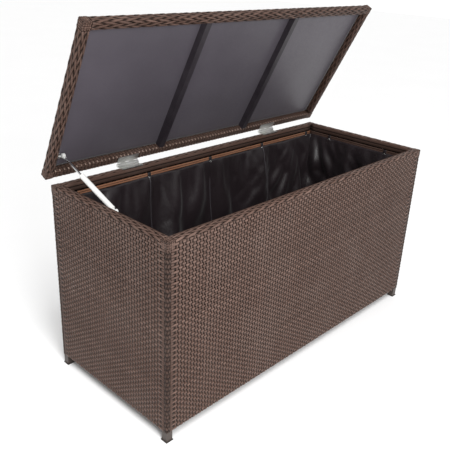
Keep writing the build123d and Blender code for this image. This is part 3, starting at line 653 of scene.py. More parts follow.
# %% Corner posts
post_foot = home_box(BODY_HOME, "leg_wraps")[0][Z]
CORNER_CAP = 2.0 * MM
for number, (where, x, y) in enumerate((
    ("front_left", left_x, front_y), ("front_right", right_x, front_y),
    ("back_left", left_x, back_y), ("back_right", right_x, back_y),
)):
    wicker_pieces.append(braid(
        f"post_braid_{where}", BODY_HOME, "box", "leg_wraps", 50 + number, POST_WEAVE,
        Z, (X, np.sign(x)), (Y, np.sign(y)), (post_foot, rim_top - CORNER_CAP), (x, y),
        cover=HALF_WRAP - POST_LAP, on_post=True, tone=POST_PAINTED_TONE,
    ))

# %% [markdown]
# The lid is a flat frame of the same wound tube. Its woven top laps over the rails'
# upper side, again leaving a 10 mm band of braid round the edge.

# %% Lid rails
lid_low, lid_high = home_box(LID_HOME, "lid_rail_wraps")
lid_height = lid_high[Z] - HALF_WRAP
lid_x = (lid_low[X] + 2 * HALF_WRAP, lid_high[X] - 2 * HALF_WRAP)
lid_y = (lid_low[Y] + 2 * HALF_WRAP, lid_high[Y] - 2 * HALF_WRAP)
for number, (where, run, side, span, centre) in enumerate((
    ("front", X, (Y, -1), lid_x, lid_low[Y] + HALF_WRAP),
    ("back", X, (Y, 1), lid_x, lid_high[Y] - HALF_WRAP),
    ("left", Y, (X, -1), lid_y, lid_low[X] + HALF_WRAP),
    ("right", Y, (X, 1), lid_y, lid_high[X] - HALF_WRAP),
)):
    wicker_pieces.append(braid(
        f"lid_braid_{where}", LID_HOME, "lid", "lid_rail_wraps", 60 + number,
        HINGE_RAIL_WEAVE if where == "back" else RAIL_WEAVE,
        run, (Z, 1), side, span, (lid_height, centre), cover,
        tone=HINGE_RAIL_TONE if where == "back" else LID_TONE,
    ))

# %% [markdown]
# Along the hinge rail the uprights of the lid's weave are pulled round the tube and
# tucked in, so rows of short loops show at both its lower edges. Their pale colour is
# painted highlight, for the glints where the strips bend round the rail's edges. Each
# loop is a strip that runs round the tube, on the same round square as the braid.

# %% Hinge rail loops
LOOP_PITCH = 14.0 * MM
LOOP_WIDTH = 5.0 * MM
LOOP_LIFT, LOOP_THICKNESS = 1.25 * MM, 0.8 * MM
LOOP_REACH, LOOP_JITTER = 4.2 * MM, 0.5 * MM


def loop_part(share, start, rng):
    """A row of loops on the edge that lies at a share of the way round the tube. start
    moves the row along by a share of the pitch, so that two rows can stand in steps."""
    count = int((lid_x[1] - lid_x[0]) / LOOP_PITCH)
    along = lid_x[0] + (np.arange(count) + start) * (lid_x[1] - lid_x[0]) / count
    along = along + rng.normal(0, LOOP_JITTER, count)
    turn = share * perimeter(BRAID_HALF, BRAID_CORNER) + np.linspace(-1.0, 0.4, 6) * LOOP_REACH
    lift = LOOP_LIFT + STAKE_OUTLINE[:, 1] * LOOP_THICKNESS
    a, b = round_square(turn[:, None], BRAID_HALF, BRAID_CORNER, lift[None, :])
    grid = np.empty((count, len(turn), len(STAKE_OUTLINE), 3))
    grid[..., X] = along[:, None, None] + STAKE_OUTLINE[:, 0] * LOOP_WIDTH
    grid[..., Z] = lid_height + a
    grid[..., Y] = lid_high[Y] - HALF_WRAP + b
    lengths = np.broadcast_to(turn, (count, len(turn))) + reel_start(rng, count)
    return as_part(LID_HOME, grid, rng.uniform(0.3, 1.0, count), lengths, 0 * lengths)


rng = np.random.default_rng(70)
loops = join_parts("hinge_rail_loops", [loop_part(0.75, 0.3, rng), loop_part(0.5, 0.8, rng)])
dress(loops, "lid", "wicker", "lid_rail_wraps")
print("hinge rail loops", len(loops.data.polygons), "faces")

# %% [markdown]
# Where two wound rails meet, the maker covers the joint with a small woven patch that
# folds over the edges. Each patch is a plain weave of four strips by four on one face
# of the corner, and its strips dip at their ends, so the edges of the cube look round.

# %% Corner patches
PATCH_STRIPS = 4
PATCH_STAND, PATCH_DROP, PATCH_SWING = HALF_WRAP - 1.3 * MM, 2.2 * MM, 0.55 * MM


def patch_parts(home, middle, normal, rng):
    """A woven patch on one face of a corner cube. normal is (home axis, sign). Strip height
    is the weave's wave, less a drop that grows with the sixth power of the distance from
    the middle, so it is flat in the centre and rounded off at the rim."""
    axis, sign = normal
    first, second = [k for k in (X, Y, Z) if k != axis]
    half = HALF_WRAP - 0.6 * MM
    pitch = 2 * half / PATCH_STRIPS
    along = np.linspace(-half, half, 4 * PATCH_STRIPS + 1)
    centres = (np.arange(PATCH_STRIPS) + 0.5) * pitch - half
    parts = []
    for turn, (run, over) in enumerate(((first, second), (second, first))):
        cell = (along + half) / pitch
        wave = crossing_wave(cell, np.arange(PATCH_STRIPS)[:, None] + turn, PATCH_SWING)
        far = np.maximum(np.abs(along) / half, np.abs(centres)[:, None] / half)
        lift = PATCH_STAND + wave - PATCH_DROP * far ** 6
        width = np.full(PATCH_STRIPS, pitch * 0.95)
        across = np.broadcast_to(centres[:, None], lift.shape)
        flat = strips_on_plane(WEAVER_OUTLINE, across, along, lift, width, STRIP_THICKNESS)
        grid = np.empty_like(flat)
        grid[..., run] = flat[..., 0] + middle[run]
        grid[..., over] = flat[..., 1] + middle[over]
        grid[..., axis] = flat[..., 2] * sign + middle[axis]
        lengths = along + reel_start(rng, PATCH_STRIPS)
        # Painted shade where a patch strip passes under another.
        painted_shade = depth_under(wave / PATCH_SWING)
        parts.append(as_part(home, grid, strip_shades(rng, PATCH_STRIPS), lengths, painted_shade))
    return parts


rng = np.random.default_rng(70)
parts = []
for x in (left_x, right_x):
    for y in (front_y, back_y):
        middle = np.array([x, y, rim_height])
        for normal in ((Z, 1), (X, np.sign(x)), (Y, np.sign(y))):
            parts += patch_parts(BODY_HOME, middle, normal, rng)
wicker_pieces.append(dress(join_parts("rim_corner_patches", parts), "box", "wicker", "leg_wraps"))
parts = []
for x in (lid_low[X] + HALF_WRAP, lid_high[X] - HALF_WRAP):
    for y in (lid_low[Y] + HALF_WRAP, lid_high[Y] - HALF_WRAP):
        middle = np.array([x, y, lid_height])
        outward = (Y, -1 if y < (lid_low[Y] + lid_high[Y]) / 2 else 1)
        for normal in ((Z, 1), (Z, -1), (X, np.sign(x)), outward):
            parts += patch_parts(LID_HOME, middle, normal, rng)
wicker_pieces.append(dress(join_parts("lid_corner_patches", parts), "lid", "wicker", "lid_rail_wraps"))
print("corner patches", [len(p.data.polygons) for p in wicker_pieces[-2:]])

# %% [markdown]
# The liner is a loose bag of thin black cloth that hangs inside the box from short
# tapes. It is cut larger than the box, so it wrinkles, and its top edge dips a little
# between the tapes. Cloth like this is what a simulation is good at. The bag starts as a
# box shape with faint folds, its top edge is pinned, and Blender's Cloth lets the rest
# settle against the inside of the walls.

# %% Liner pattern
LINER_CELL = 13.5 * MM
LINER_EASE = 1.07
LINER_INSET = 3 * MM
SIDE_DIP, LEFT_DIP, RIGHT_DIP = 3 * MM, 10 * MM, 1.5 * MM
RIGHT_FROM, RIGHT_WIDTH, LEFT_WIDTH = 0.972, 0.028, 0.004
liner_low, liner_high = home_box(BODY_HOME, "liner_bag")
TAPE_X = np.array([-540.0, -270.0, 0.0, 270.0, 540.0]) * MM
TAPE_Y = np.array([-125.0, 125.0]) * MM


def liner_edge(x, y):
    """Height of the bag's top edge: shallow dips, each a squared sine or cosine, between
    the tapes on the long sides and across the two ends. A share that goes from 0 to 1
    near each end passes from one dip to the next."""
    dip = SIDE_DIP * np.sin(np.pi * np.mod((x - TAPE_X[0]) / (TAPE_X[1] - TAPE_X[0]), 1.0)) ** 2
    left_dip = LEFT_DIP * np.cos(np.pi * y / (TAPE_Y[1] - TAPE_Y[0])) ** 2
    across = (y - liner_low[Y]) / (liner_high[Y] - liner_low[Y])
    right_dip = RIGHT_DIP * np.sin(np.pi * across) ** 2
    reach = (x - liner_low[X]) / (liner_high[X] - liner_low[X])
    on_right = np.clip((reach - RIGHT_FROM) / RIGHT_WIDTH, 0.0, 1.0)
    on_left = np.clip((LEFT_WIDTH - reach) / LEFT_WIDTH, 0.0, 1.0)
    on_side = (1 - on_right) * (1 - on_left)
    return liner_high[Z] - 2 * MM - dip * on_side - on_right * right_dip - on_left * left_dip


FIRST_DEPTH = 14 * MM
FAN_DEPTH, FAN_STEP, FAN_REACH = 18 * MM, 0.13, 0.22
FIRST_FOLDS = ((5, 0.9, 0.4, 0.7), (9, -1.6, 2.1, 0.6), (14, 2.3, 4.0, 0.5), (22, -0.6, 1.2, 0.35))


def bag_pattern():
    """A bag of squares: a loop of columns round the four walls, and a floor grid that shares
    its border points with the lowest loop. The walls start with faint slanted folds, a sum
    of sines, and with a fan of short waves that dies out away from one corner, so that the
    cloth wrinkles unevenly. Returns points, faces, the loop's length and the number of
    squares each way."""
    x0, y0 = liner_low[X] + LINER_INSET, liner_low[Y] + LINER_INSET
    x1, y1 = liner_high[X] - LINER_INSET, liner_high[Y] - LINER_INSET
    nx = int(round((x1 - x0) / LINER_CELL))
    ny = int(round((y1 - y0) / LINER_CELL))
    nz = int(round((liner_high[Z] - liner_low[Z]) / LINER_CELL))
    xs, ys = np.linspace(x0, x1, nx + 1), np.linspace(y0, y1, ny + 1)
    loop_x = np.concatenate([xs[:-1], np.full(ny, x1), xs[:0:-1], np.full(ny, x0)])
    loop_y = np.concatenate([np.full(nx, y0), ys[:-1], np.full(nx, y1), ys[:0:-1]])
    count = len(loop_x)
    top = liner_edge(loop_x, loop_y)
    bottom = liner_low[Z] + LINER_INSET
    share = np.linspace(1.0, 0.0, nz + 1)[:, None]
    wall = np.empty((nz + 1, count, 3))
    run = np.arange(count) / count
    slant = sum(
        size * np.sin(2 * np.pi * (turns * run + lean * share) + start)
        for turns, lean, start, size in FIRST_FOLDS
    )
    from_corner = (run - (nx + ny) / count) * count * LINER_CELL
    fan = np.sin(2 * np.pi * from_corner / (FAN_STEP * (1.25 - share)))
    fan = fan * np.exp(-np.abs(from_corner) / FAN_REACH)
    puff = np.abs((FIRST_DEPTH * slant + FAN_DEPTH * fan) * np.sin(np.pi * share) ** 0.7)

    def puffed(loop, low, high):
        """Moves the columns on the two walls that face this axis in by the puff."""
        off_centre = loop - (low + high) / 2
        facing = np.where(np.abs(off_centre) > 0.49 * (high - low), np.sign(off_centre), 0)
        return np.clip(loop - facing * puff, low, high)

    wall[..., X], wall[..., Y] = puffed(loop_x, x0, x1), puffed(loop_y, y0, y1)
    wall[..., Z] = bottom + (top - bottom) * share
    inner_x, inner_y = np.meshgrid(xs[1:-1], ys[1:-1], indexing="ij")
    floor = np.stack([inner_x, inner_y, np.full_like(inner_x, bottom)], axis=-1).reshape(-1, 3)
    points = np.concatenate([wall.reshape(-1, 3), floor])
    walls = grid_faces(1, nz + 1, count)
    ids = np.empty((nx + 1, ny + 1), dtype=int)
    base = nz * count
    ids[:nx, 0] = base + np.arange(nx)
    ids[nx, :ny] = base + nx + np.arange(ny)
    ids[nx:0:-1, ny] = base + nx + ny + np.arange(nx)
    ids[0, ny:0:-1] = base + 2 * nx + ny + np.arange(ny)
    ids[1:-1, 1:-1] = (nz + 1) * count + np.arange((nx - 1) * (ny - 1)).reshape(nx - 1, ny - 1)
    faces = np.concatenate([walls, sheet_faces(ids)])[:, ::-1]
    return points, faces, count, (nx, ny, nz)


bag_points, bag_faces, bag_loop, bag_cells = bag_pattern()
bag_rows = bag_cells[Z] + 1
liner = new_object("liner", to_room(BODY_HOME, bag_points), bag_faces)
on_wall = np.arange(bag_rows * bag_loop)
wall_uv = np.stack([on_wall % bag_loop, on_wall // bag_loop], axis=-1) * LINER_CELL
lay_uv(liner, np.concatenate([wall_uv, bag_points[len(on_wall):, :2]]))
print("liner cells", bag_cells, "points", len(bag_points))

# %% [markdown]
# The walls that stop the cloth are five plain slabs made only for the simulation, and
# they are deleted after it. The cloth is told to grow by a few percent, which stands
# for the extra size it was cut with. A fixed number of frames gives the same folds on
# every run.

# %% Liner simulation
CLOTH_FRAMES = 45
STOP_THICKNESS = 60 * MM
STOP_GAP = 1.5 * MM
WALL_ROOM = 0.6 * MM


def slab(name, low, high):
    """A box from two corners, as a solid that cloth can't pass through."""
    corner = np.array([(x, y, z) for x in (0, 1) for y in (0, 1) for z in (0, 1)])
    points = low + corner * (np.array(high) - low)
    faces = np.array([
        (0, 1, 3, 2), (4, 6, 7, 5), (0, 4, 5, 1), (2, 3, 7, 6), (0, 2, 6, 4), (1, 5, 7, 3),
    ])
    thing = new_object(name, to_room(BODY_HOME, points), faces, smooth=False)
    thing.modifiers.new("stop", "COLLISION")
    thing.collision.thickness_outer = STOP_GAP
    thing.collision.cloth_friction = 8.0
    return thing


def settle_liner():
    """Runs the cloth to rest between slabs, and returns its points in the room. The loop
    of points at the top is pinned, and a shrink below 0 makes the cloth grow."""
    (x0, y0, z0), (x1, y1, z1) = liner_low, liner_high
    left, front, under = liner_low - STOP_THICKNESS
    right, back, _ = liner_high + STOP_THICKNESS
    stops = [
        slab("stop_floor", (left, front, under), (right, back, z0)),
        slab("stop_left", (left, front, z0), (x0, back, z1)),
        slab("stop_right", (x1, front, z0), (right, back, z1)),
        slab("stop_front", (x0, front, z0), (x1, y0, z1)),
        slab("stop_back", (x0, y1, z0), (x1, back, z1)),
    ]
    pins = liner.vertex_groups.new(name="pins")
    pins.add(list(range(bag_loop)), 1.0, "REPLACE")
    cloth = liner.modifiers.new("cloth", "CLOTH")
    cloth.settings.quality = 6
    cloth.settings.mass = 0.12
    cloth.settings.vertex_group_mass = "pins"
    cloth.settings.tension_stiffness = 12
    cloth.settings.compression_stiffness = 12
    cloth.settings.shear_stiffness = 6
    cloth.settings.bending_stiffness = 2.5
    cloth.settings.air_damping = 2.0
    cloth.settings.shrink_min = 1.0 - LINER_EASE
    cloth.collision_settings.distance_min = STOP_GAP
    cloth.collision_settings.collision_quality = 2
    cloth.point_cache.frame_start = 1
    cloth.point_cache.frame_end = CLOTH_FRAMES
    for frame_number in range(1, CLOTH_FRAMES + 1):
        bpy.context.scene.frame_set(frame_number)
    shape = liner.evaluated_get(bpy.context.evaluated_depsgraph_get()).to_mesh()
    settled = np.empty(len(shape.vertices) * 3)
    shape.vertices.foreach_get("co", settled)
    liner.modifiers.remove(cloth)
    for stop in stops:
        bpy.data.objects.remove(stop)
    bpy.context.scene.frame_set(1)
    return settled.reshape(-1, 3)


inside = np.clip(settle_liner() - MIDDLE, liner_low + WALL_ROOM, liner_high - WALL_ROOM)
liner.data.vertices.foreach_set("co", (inside + MIDDLE).reshape(-1).astype(np.float32))
liner.data.update()
print("settled by up to", round(float(np.abs(inside - bag_points).max()), 3), "m")

# %% [markdown]
# The bag is sewn from panels. Each seam is a narrow cord-like ridge that runs down a
# wall under a tape and crosses the folds, so its points are read back from the settled
# cloth, one column of the bag's own grid for each seam.

# %% Liner seams
SEAM_WIDTH = 4.2 * MM
SEAM_THICKNESS, SEAM_STAND = 1.6, 0.9


def seam_part(column, inward, rng):
    """A raised strip on one column of the bag, a little proud of the cloth. Its line is the
    column's points, smoothed once, and its width lies level along the wall."""
    mesh_points = np.empty(len(liner.data.vertices) * 3)
    liner.data.vertices.foreach_get("co", mesh_points)
    rows = np.arange(bag_rows) * bag_loop + column
    line = mesh_points.reshape(-1, 3)[rows] - MIDDLE
    line[1:-1] = line[:-2] * 0.25 + line[1:-1] * 0.5 + line[2:] * 0.25
    across = WEAVER_OUTLINE[:, 0, None] * SEAM_WIDTH * np.cross(UP, inward)
    out = (WEAVER_OUTLINE[:, 1, None] * SEAM_THICKNESS + SEAM_STAND) * MM * inward
    grid = (line[:, None, :] + across[None] + out[None])[None]
    lengths = np.linspace(0.0, 0.5, len(line))[None, :]
    return as_part(BODY_HOME, grid, strip_shades(rng, 1), lengths, 0 * lengths)


def nearest_column(x, y):
    """The column of the bag's loop whose top point is nearest to (x, y)."""
    top = bag_points[:bag_loop, :2]
    return int(np.argmin(np.linalg.norm(top - np.array([x, y]), axis=1)))


rng = np.random.default_rng(78)
seams = [
    seam_part(nearest_column(x, y), np.array([0.0, side, 0.0]), rng)
    for y, side in ((liner_low[Y] + LINER_INSET, 1.0), (liner_high[Y] - LINER_INSET, -1.0))
    for x in TAPE_X[1:-1]
]
liner_seams = dress(join_parts("liner_seams", seams), "box", "liner", "liner_bag")
print("seams", len(seams))

# %% [markdown]
# The simulated sheet is coarse and has no thickness. One level of subdivision rounds its
# folds, and Solidify gives it the cloth's thickness on the side of the box's wall.

# %% Liner finish
def thicken(sheet, thickness):
    """A live wall of a given thickness behind a sheet's faces."""
    wall = sheet.modifiers.new("thickness", "SOLIDIFY")
    wall.thickness = thickness
    wall.offset = -1


smooth = liner.modifiers.new("smooth", "SUBSURF")
smooth.levels = smooth.render_levels = 1
thicken(liner, 0.6 * MM)
dress(liner, "box", "liner", "liner_bag")
print("liner faces", len(liner.data.polygons), "before smoothing")

# %% [markdown]
# The tapes that hold the bag are short lengths of webbing with a bright eyelet. Each
# tape is a ribbon along a line that bulges off the wall, and each eyelet is a small
# ring: a small oval carried round a circle.

# %% Tapes and eyelets
TAPE_WIDTH, TAPE_THICKNESS = 13.0 * MM, 0.8 * MM
TAPE_GAP = 1 * MM
EYELET_RADIUS, WIRE_ROUND, WIRE_OUT = 3.4, 0.9, 0.6
EYELET_RISE, EYELET_STAND = 8 * MM, 4.2 * MM
tape_low, tape_high = home_box(BODY_HOME, "liner_ties")
TAPE_TOP, TAPE_END = tape_high[Z], tape_low[Z]


def tape_part(x, y, inward, rng):
    """A webbing ribbon that hangs down the wall at (x, y). inward is the level direction
    into the box. The line bulges off the wall by half a wave of a sine over its height."""
    t = np.linspace(0.0, 1.0, 9)
    depth = (1.2 + 2.2 * np.sin(np.pi * t)) * MM
    line = np.array([x, y, 0.0]) + np.outer(depth, inward)
    line[:, 2] = TAPE_TOP - t * (TAPE_TOP - TAPE_END) * 0.98 - 0.2 * MM
    across = WEAVER_OUTLINE[:, 0, None] * TAPE_WIDTH * np.cross(UP, inward)
    out = WEAVER_OUTLINE[:, 1, None] * TAPE_THICKNESS * inward
    grid = (line[:, None, :] + across[None] + out[None])[None]
    return as_part(BODY_HOME, grid, strip_shades(rng, 1), (t * 0.025)[None, :], 0 * t[None, :])


def eyelet_part(x, y, inward, rng):
    """A flat ring of metal that faces into the box: points go round a circle of the
    eyelet's radius, in millimetres, and each carries a small oval, the ring's section."""
    big = np.linspace(0, 2 * np.pi, 19)
    small = np.arange(6) * np.pi / 3
    along = np.cross(UP, inward)
    centre = np.array([x, y, TAPE_END + EYELET_RISE]) + EYELET_STAND * inward
    spoke = np.cos(big)[:, None] * along + np.sin(big)[:, None] * UP
    reach = EYELET_RADIUS + WIRE_ROUND * np.cos(small)
    ring = centre + spoke[:, None, :] * reach[None, :, None] * MM
    ring = ring + np.sin(small)[None, :, None] * WIRE_OUT * MM * inward
    turns = (big * 0.003)[None, :]
    return as_part(BODY_HOME, ring[None], strip_shades(rng, 1), turns, 0 * turns)


rng = np.random.default_rng(80)
walls = ((liner_low + TAPE_GAP, 1.0), (liner_high - TAPE_GAP, -1.0))
places = [(x, wall[Y], np.array([0.0, side, 0.0])) for wall, side in walls for x in TAPE_X]
places += [(wall[X], y, np.array([side, 0.0, 0.0])) for wall, side in walls for y in TAPE_Y]
tapes = join_parts("liner_tapes", [tape_part(*place, rng) for place in places])
dress(tapes, "box", "liner", "liner_ties")
eyelets = join_parts("liner_eyelets", [eyelet_part(*place, rng) for place in places])
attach(eyelets, "box")

# %% [markdown]
# Grey cloth is stretched under the lid's weave and stapled at its edges. It is a
# single sheet that is nearly flat: it hangs a little between the cross bars, and weak
# pull lines run in from the edge.

# %% Lid lining
lining_low, lining_high = home_box(LID_HOME, "lid_lining")
LINING_CELL = 9 * MM


def lining_grid():
    """Height over the sheet: minus a shallow dish between bars, times a fade to zero at the
    edge, plus two slow waves and short pull waves that die out away from the edge."""
    width, depth, _ = lining_high - lining_low
    nx = int(round(width / LINING_CELL))
    ny = int(round(depth / LINING_CELL))
    x, y = np.meshgrid(
        np.linspace(lining_low[X], lining_high[X], nx + 1),
        np.linspace(lining_low[Y], lining_high[Y], ny + 1), indexing="ij",
    )
    u = (x - lining_low[X]) / width
    v = (y - lining_low[Y]) / depth
    edge = np.minimum(np.minimum(u, 1 - u) * 2.6, np.minimum(v, 1 - v))
    dish = np.sin(np.pi * 3 * u) ** 2 * np.sin(np.pi * v)
    slow = np.sin(9.1 * u + 3.0 * v) * np.sin(5.3 * v + 1.1 * u)
    pulls = np.sin(2 * np.pi * u * 21 + 1.5 * np.sin(7 * u)) * np.exp(-edge / 0.06)
    fade = np.clip(edge / 0.03, 0.0, 1.0)
    z = lining_low[Z] + 0.6 * MM - fade * (1.6 * dish + 0.35 * slow + 0.25 * pulls + 0.4) * MM
    points = np.stack([x, y, z], axis=-1).reshape(-1, 3)
    ids = np.arange(len(points)).reshape(nx + 1, ny + 1)
    return points, sheet_faces(ids)


lining_points, lining_faces = lining_grid()
lining = new_object("lid_lining_cloth", to_room(LID_HOME, lining_points), lining_faces)
lay_uv(lining, lining_points[:, :2])
thicken(lining, 0.5 * MM)
dress(lining, "lid", "lining", "lid_lining")

# %% [markdown]
# ## Finishes
# Three effects serve many materials, so each is a node group, built once. Strip grain
# draws fine streaks along a strip and darkens its edges. Cloth weave crosses two sets
# of fine waves. Wear gives slow patches and specks on object coordinates. The groups
# give out numbers only, and every shader stays in its own material.

# %% Node helpers
def new_group(name, inputs, outputs):
    """A shader node group with float inputs, given with their defaults, and float outputs."""
    group = bpy.data.node_groups.new(name, "ShaderNodeTree")
    for label, value in inputs.items():
        socket = group.interface.new_socket(name=label, in_out="INPUT", socket_type="NodeSocketFloat")
        socket.default_value = value
    for label in outputs:
        group.interface.new_socket(name=label, in_out="OUTPUT", socket_type="NodeSocketFloat")
    return group, group.nodes.new("NodeGroupInput"), group.nodes.new("NodeGroupOutput")


def math_node(tree, operation, first, second=None, third=None):
    """A Math node whose inputs are numbers or other nodes' outputs. Returns its output."""
    node = tree.nodes.new("ShaderNodeMath")
    node.operation = operation
    for socket, value in zip(node.inputs, (first, second, third)):
        if value is None:
            continue
        if isinstance(value, (int, float)):
            socket.default_value = value
        else:
            tree.links.new(value, socket)
    return node.outputs[0]


def noise_node(tree, vector, scale, detail, roughness):
    """Smooth noise from 0 to 1 at a vector. vector and scale are other nodes' outputs."""
    node = tree.nodes.new("ShaderNodeTexNoise")
    node.inputs["Detail"].default_value = detail
    node.inputs["Roughness"].default_value = roughness
    tree.links.new(scale, node.inputs["Scale"])
    tree.links.new(vector, node.inputs["Vector"])
    return node.outputs["Fac"]


def strip_uv(tree):
    """The U and V of a piece's own map, as two outputs."""
    uv = tree.nodes.new("ShaderNodeUVMap")
    uv.uv_map = "strip"
    split = tree.nodes.new("ShaderNodeSeparateXYZ")
    tree.links.new(uv.outputs["UV"], split.inputs[0])
    return split.outputs["X"], split.outputs["Y"]


def read_attribute(tree, name):
    """One of the numbers that a piece stores at its points, as an output."""
    node = tree.nodes.new("ShaderNodeAttribute")
    node.attribute_name = name
    return node.outputs["Fac"]


def strip_grain_group():
    """Streaks: noise stretched a hundredfold along the strip's own UV. Edge Shade: the
    distance from the middle line, raised to a power, the mask for painted shade at the rim
    of a strip."""
    group, given, result = new_group("strip_grain", {"Streaks": 34.0}, ("Streak", "Edge Shade", "Height"))
    along, across = strip_uv(group)
    place = group.nodes.new("ShaderNodeCombineXYZ")
    for label, value, scale in (
        ("X", along, 0.55), ("Y", across, 0.16), ("Z", read_attribute(group, "shade"), 9.0),
    ):
        group.links.new(math_node(group, "MULTIPLY", value, scale), place.inputs[label])
    streak = noise_node(group, place.outputs[0], given.outputs["Streaks"], 3.0, 0.6)
    edge = math_node(group, "POWER", math_node(group, "MINIMUM", across, 1.0), 3.0)
    rib = math_node(group, "SINE", math_node(group, "MULTIPLY", across, 15.0))
    height = math_node(group, "MULTIPLY_ADD", rib, 0.35, streak)
    for label, value in (("Streak", streak), ("Edge Shade", edge), ("Height", height)):
        group.links.new(value, result.inputs[label])
    return group


def wear_group():
    """Patch: slow noise over the object. Speck: fine noise over it. Both run from 0 to 1."""
    inputs = {"Patch Scale": 9.0, "Speck Scale": 260.0}
    group, given, result = new_group("wear", inputs, ("Patch", "Speck"))
    place = group.nodes.new("ShaderNodeTexCoord").outputs["Object"]
    for label, detail, roughness in (("Patch", 4.0, 0.6), ("Speck", 2.0, 0.5)):
        noise = noise_node(group, place, given.outputs[label + " Scale"], detail, roughness)
        group.links.new(noise, result.inputs[label])
    return group


def cloth_weave_group():
    """Thread: the product of two sines, one along each thread direction of the cloth's UV."""
    group, given, result = new_group("cloth_weave", {"Threads": 5200.0}, ("Thread",))
    warp, weft = (
        math_node(group, "SINE", math_node(group, "MULTIPLY", line, given.outputs["Threads"]))
        for line in strip_uv(group)
    )
    group.links.new(math_node(group, "MULTIPLY", warp, weft), result.inputs["Thread"])
    return group


GRAIN, WEAR, THREADS = strip_grain_group(), wear_group(), cloth_weave_group()
print("groups", GRAIN.name, WEAR.name, THREADS.name)

# %% [markdown]
# Each material is one Principled shader, fed by the groups through two small tools: a
# ramp stretches a mask to the range that is wanted, and a mix uses it to lay one colour
# over another.

# %% Material helpers
def new_material(name):
    """A material with an empty node tree, its Principled shader and its output."""
    material = bpy.data.materials.new(name)
    material.use_nodes = True
    tree = material.node_tree
    tree.nodes.clear()
    shader = tree.nodes.new("ShaderNodeBsdfPrincipled")
    out = tree.nodes.new("ShaderNodeOutputMaterial")
    tree.links.new(shader.outputs[0], out.inputs["Surface"])
    return material, tree, shader


def use_group(tree, group, **values):
    """An instance of a node group with some inputs set."""
    node = tree.nodes.new("ShaderNodeGroup")
    node.node_tree = group
    for label, value in values.items():
        node.inputs[label.replace("_", " ")].default_value = value
    return node


def mix_colour(tree, factor, first, second):
    """Two colours, or outputs that give colours, mixed by another node's output."""
    node = tree.nodes.new("ShaderNodeMix")
    node.data_type = "RGBA"
    tree.links.new(factor, node.inputs[0])
    for socket, value in ((node.inputs[6], first), (node.inputs[7], second)):
        if isinstance(value, tuple):
            socket.default_value = (*value, 1.0)
        else:
            tree.links.new(value, socket)
    return node.outputs[2]


def ramp(tree, value, low, high, to_low=0.0, to_high=1.0):
    """Maps a value from low..high to to_low..to_high, and holds it at the ends."""
    node = tree.nodes.new("ShaderNodeMapRange")
    tree.links.new(value, node.inputs["Value"])
    labels = ("From Min", "From Max", "To Min", "To Max")
    for label, number in zip(labels, (low, high, to_low, to_high)):
        node.inputs[label].default_value = number
    return node.outputs["Result"]


def rough_by(tree, shader, value, roughness):
    """Roughness from the first number to the second as a noise goes through its middle."""
    tree.links.new(ramp(tree, value, 0.3, 0.7, *roughness), shader.inputs["Roughness"])


def bump(tree, shader, height, distance, strength):
    """A small relief on the shader's normal."""
    node = tree.nodes.new("ShaderNodeBump")
    node.inputs["Distance"].default_value = distance
    node.inputs["Strength"].default_value = strength
    tree.links.new(height, node.inputs["Height"])
    tree.links.new(node.outputs["Normal"], shader.inputs["Normal"])


# %% [markdown]
# Wicker strip is brown plastic with a satin shine. Each strip has its own shade, fine
# streaks run along it, and weather leaves faint pale patches. Its rolled edges are
# darkened with painted shade, for the gaps between strips. Roughness varies with the
# streaks, which breaks up the highlights. Strips that lie under others are painted nearly
# black, as painted shade. The clamp strips have a warmer, lighter brown, and the hinge
# rail's loops a paler one, which is painted highlight.

# %% Wicker
# The edge and shade colours are painted shade: edge at the strips' rims, shade under other strips.
WICKER_BROWN = {
    "dark": (0.094, 0.055, 0.043), "light": (0.205, 0.128, 0.103),
    "streak": (0.074, 0.041, 0.031), "pale": (0.208, 0.151, 0.129),
    "edge": (0.028, 0.015, 0.010), "shade": (0.007, 0.004, 0.003),
}
WICKER_WARM = dict(
    WICKER_BROWN, dark=(0.120, 0.052, 0.030), light=(0.285, 0.132, 0.075), pale=(0.30, 0.17, 0.11))
# The loops' pale brown is painted highlight, for glints on the hinge rail's edges.
WICKER_PAINTED_HIGHLIGHT = dict(
    WICKER_BROWN, dark=(0.200, 0.135, 0.105), light=(0.420, 0.310, 0.255), pale=(0.45, 0.35, 0.30))
WICKER_GLOSS = (0.30, 0.46)


def wicker_material(name, colours):
    """Shade picks between two browns. Then four colours are laid over that one after
    another, each through its own mask: streaks, pale weather, painted shade at the dark
    edges and painted shade where strips lie under others."""
    material, tree, shader = new_material(name)
    grain = use_group(tree, GRAIN).outputs
    worn = use_group(tree, WEAR, Patch_Scale=7.0, Speck_Scale=90.0).outputs
    colour = mix_colour(tree, read_attribute(tree, "shade"), colours["dark"], colours["light"])
    for label, mask, low, high, most in (
        ("streak", grain["Streak"], 0.35, 0.75, 0.45),
        ("pale", worn["Patch"], 0.45, 0.75, 0.30),
        # The last two masks paint shade: at the strips' edges and under other strips.
        ("edge", grain["Edge Shade"], 0.0, 1.0, 0.80),
        ("shade", read_attribute(tree, "painted_shade"), 0.10, 0.62, 0.90),
    ):
        colour = mix_colour(tree, ramp(tree, mask, low, high, 0.0, most), colour, colours[label])
    tree.links.new(colour, shader.inputs["Base Color"])
    rough_by(tree, shader, grain["Streak"], WICKER_GLOSS)
    shader.inputs["Specular IOR Level"].default_value = 0.15
    bump(tree, shader, grain["Height"], 0.12 * MM, 0.6)
    return material


wicker = wicker_material("wicker_strip", WICKER_BROWN)
clamp_strips.data.materials.append(wicker_material("wicker_strip_warm", WICKER_WARM))
# The pale loops carry the painted highlight.
loops.data.materials.append(wicker_material("wicker_strip_painted_highlight", WICKER_PAINTED_HIGHLIGHT))
for piece in wicker_pieces:
    piece.data.materials.append(wicker)
print("wicker on", len(wicker_pieces), "pieces")

# %% [markdown]
# The metal and plastic parts share one recipe with different numbers: a base colour
# with slow patches, fine specks that catch dust or show scratches, and a relief that
# stands for powder coat, plating or a moulded grain.

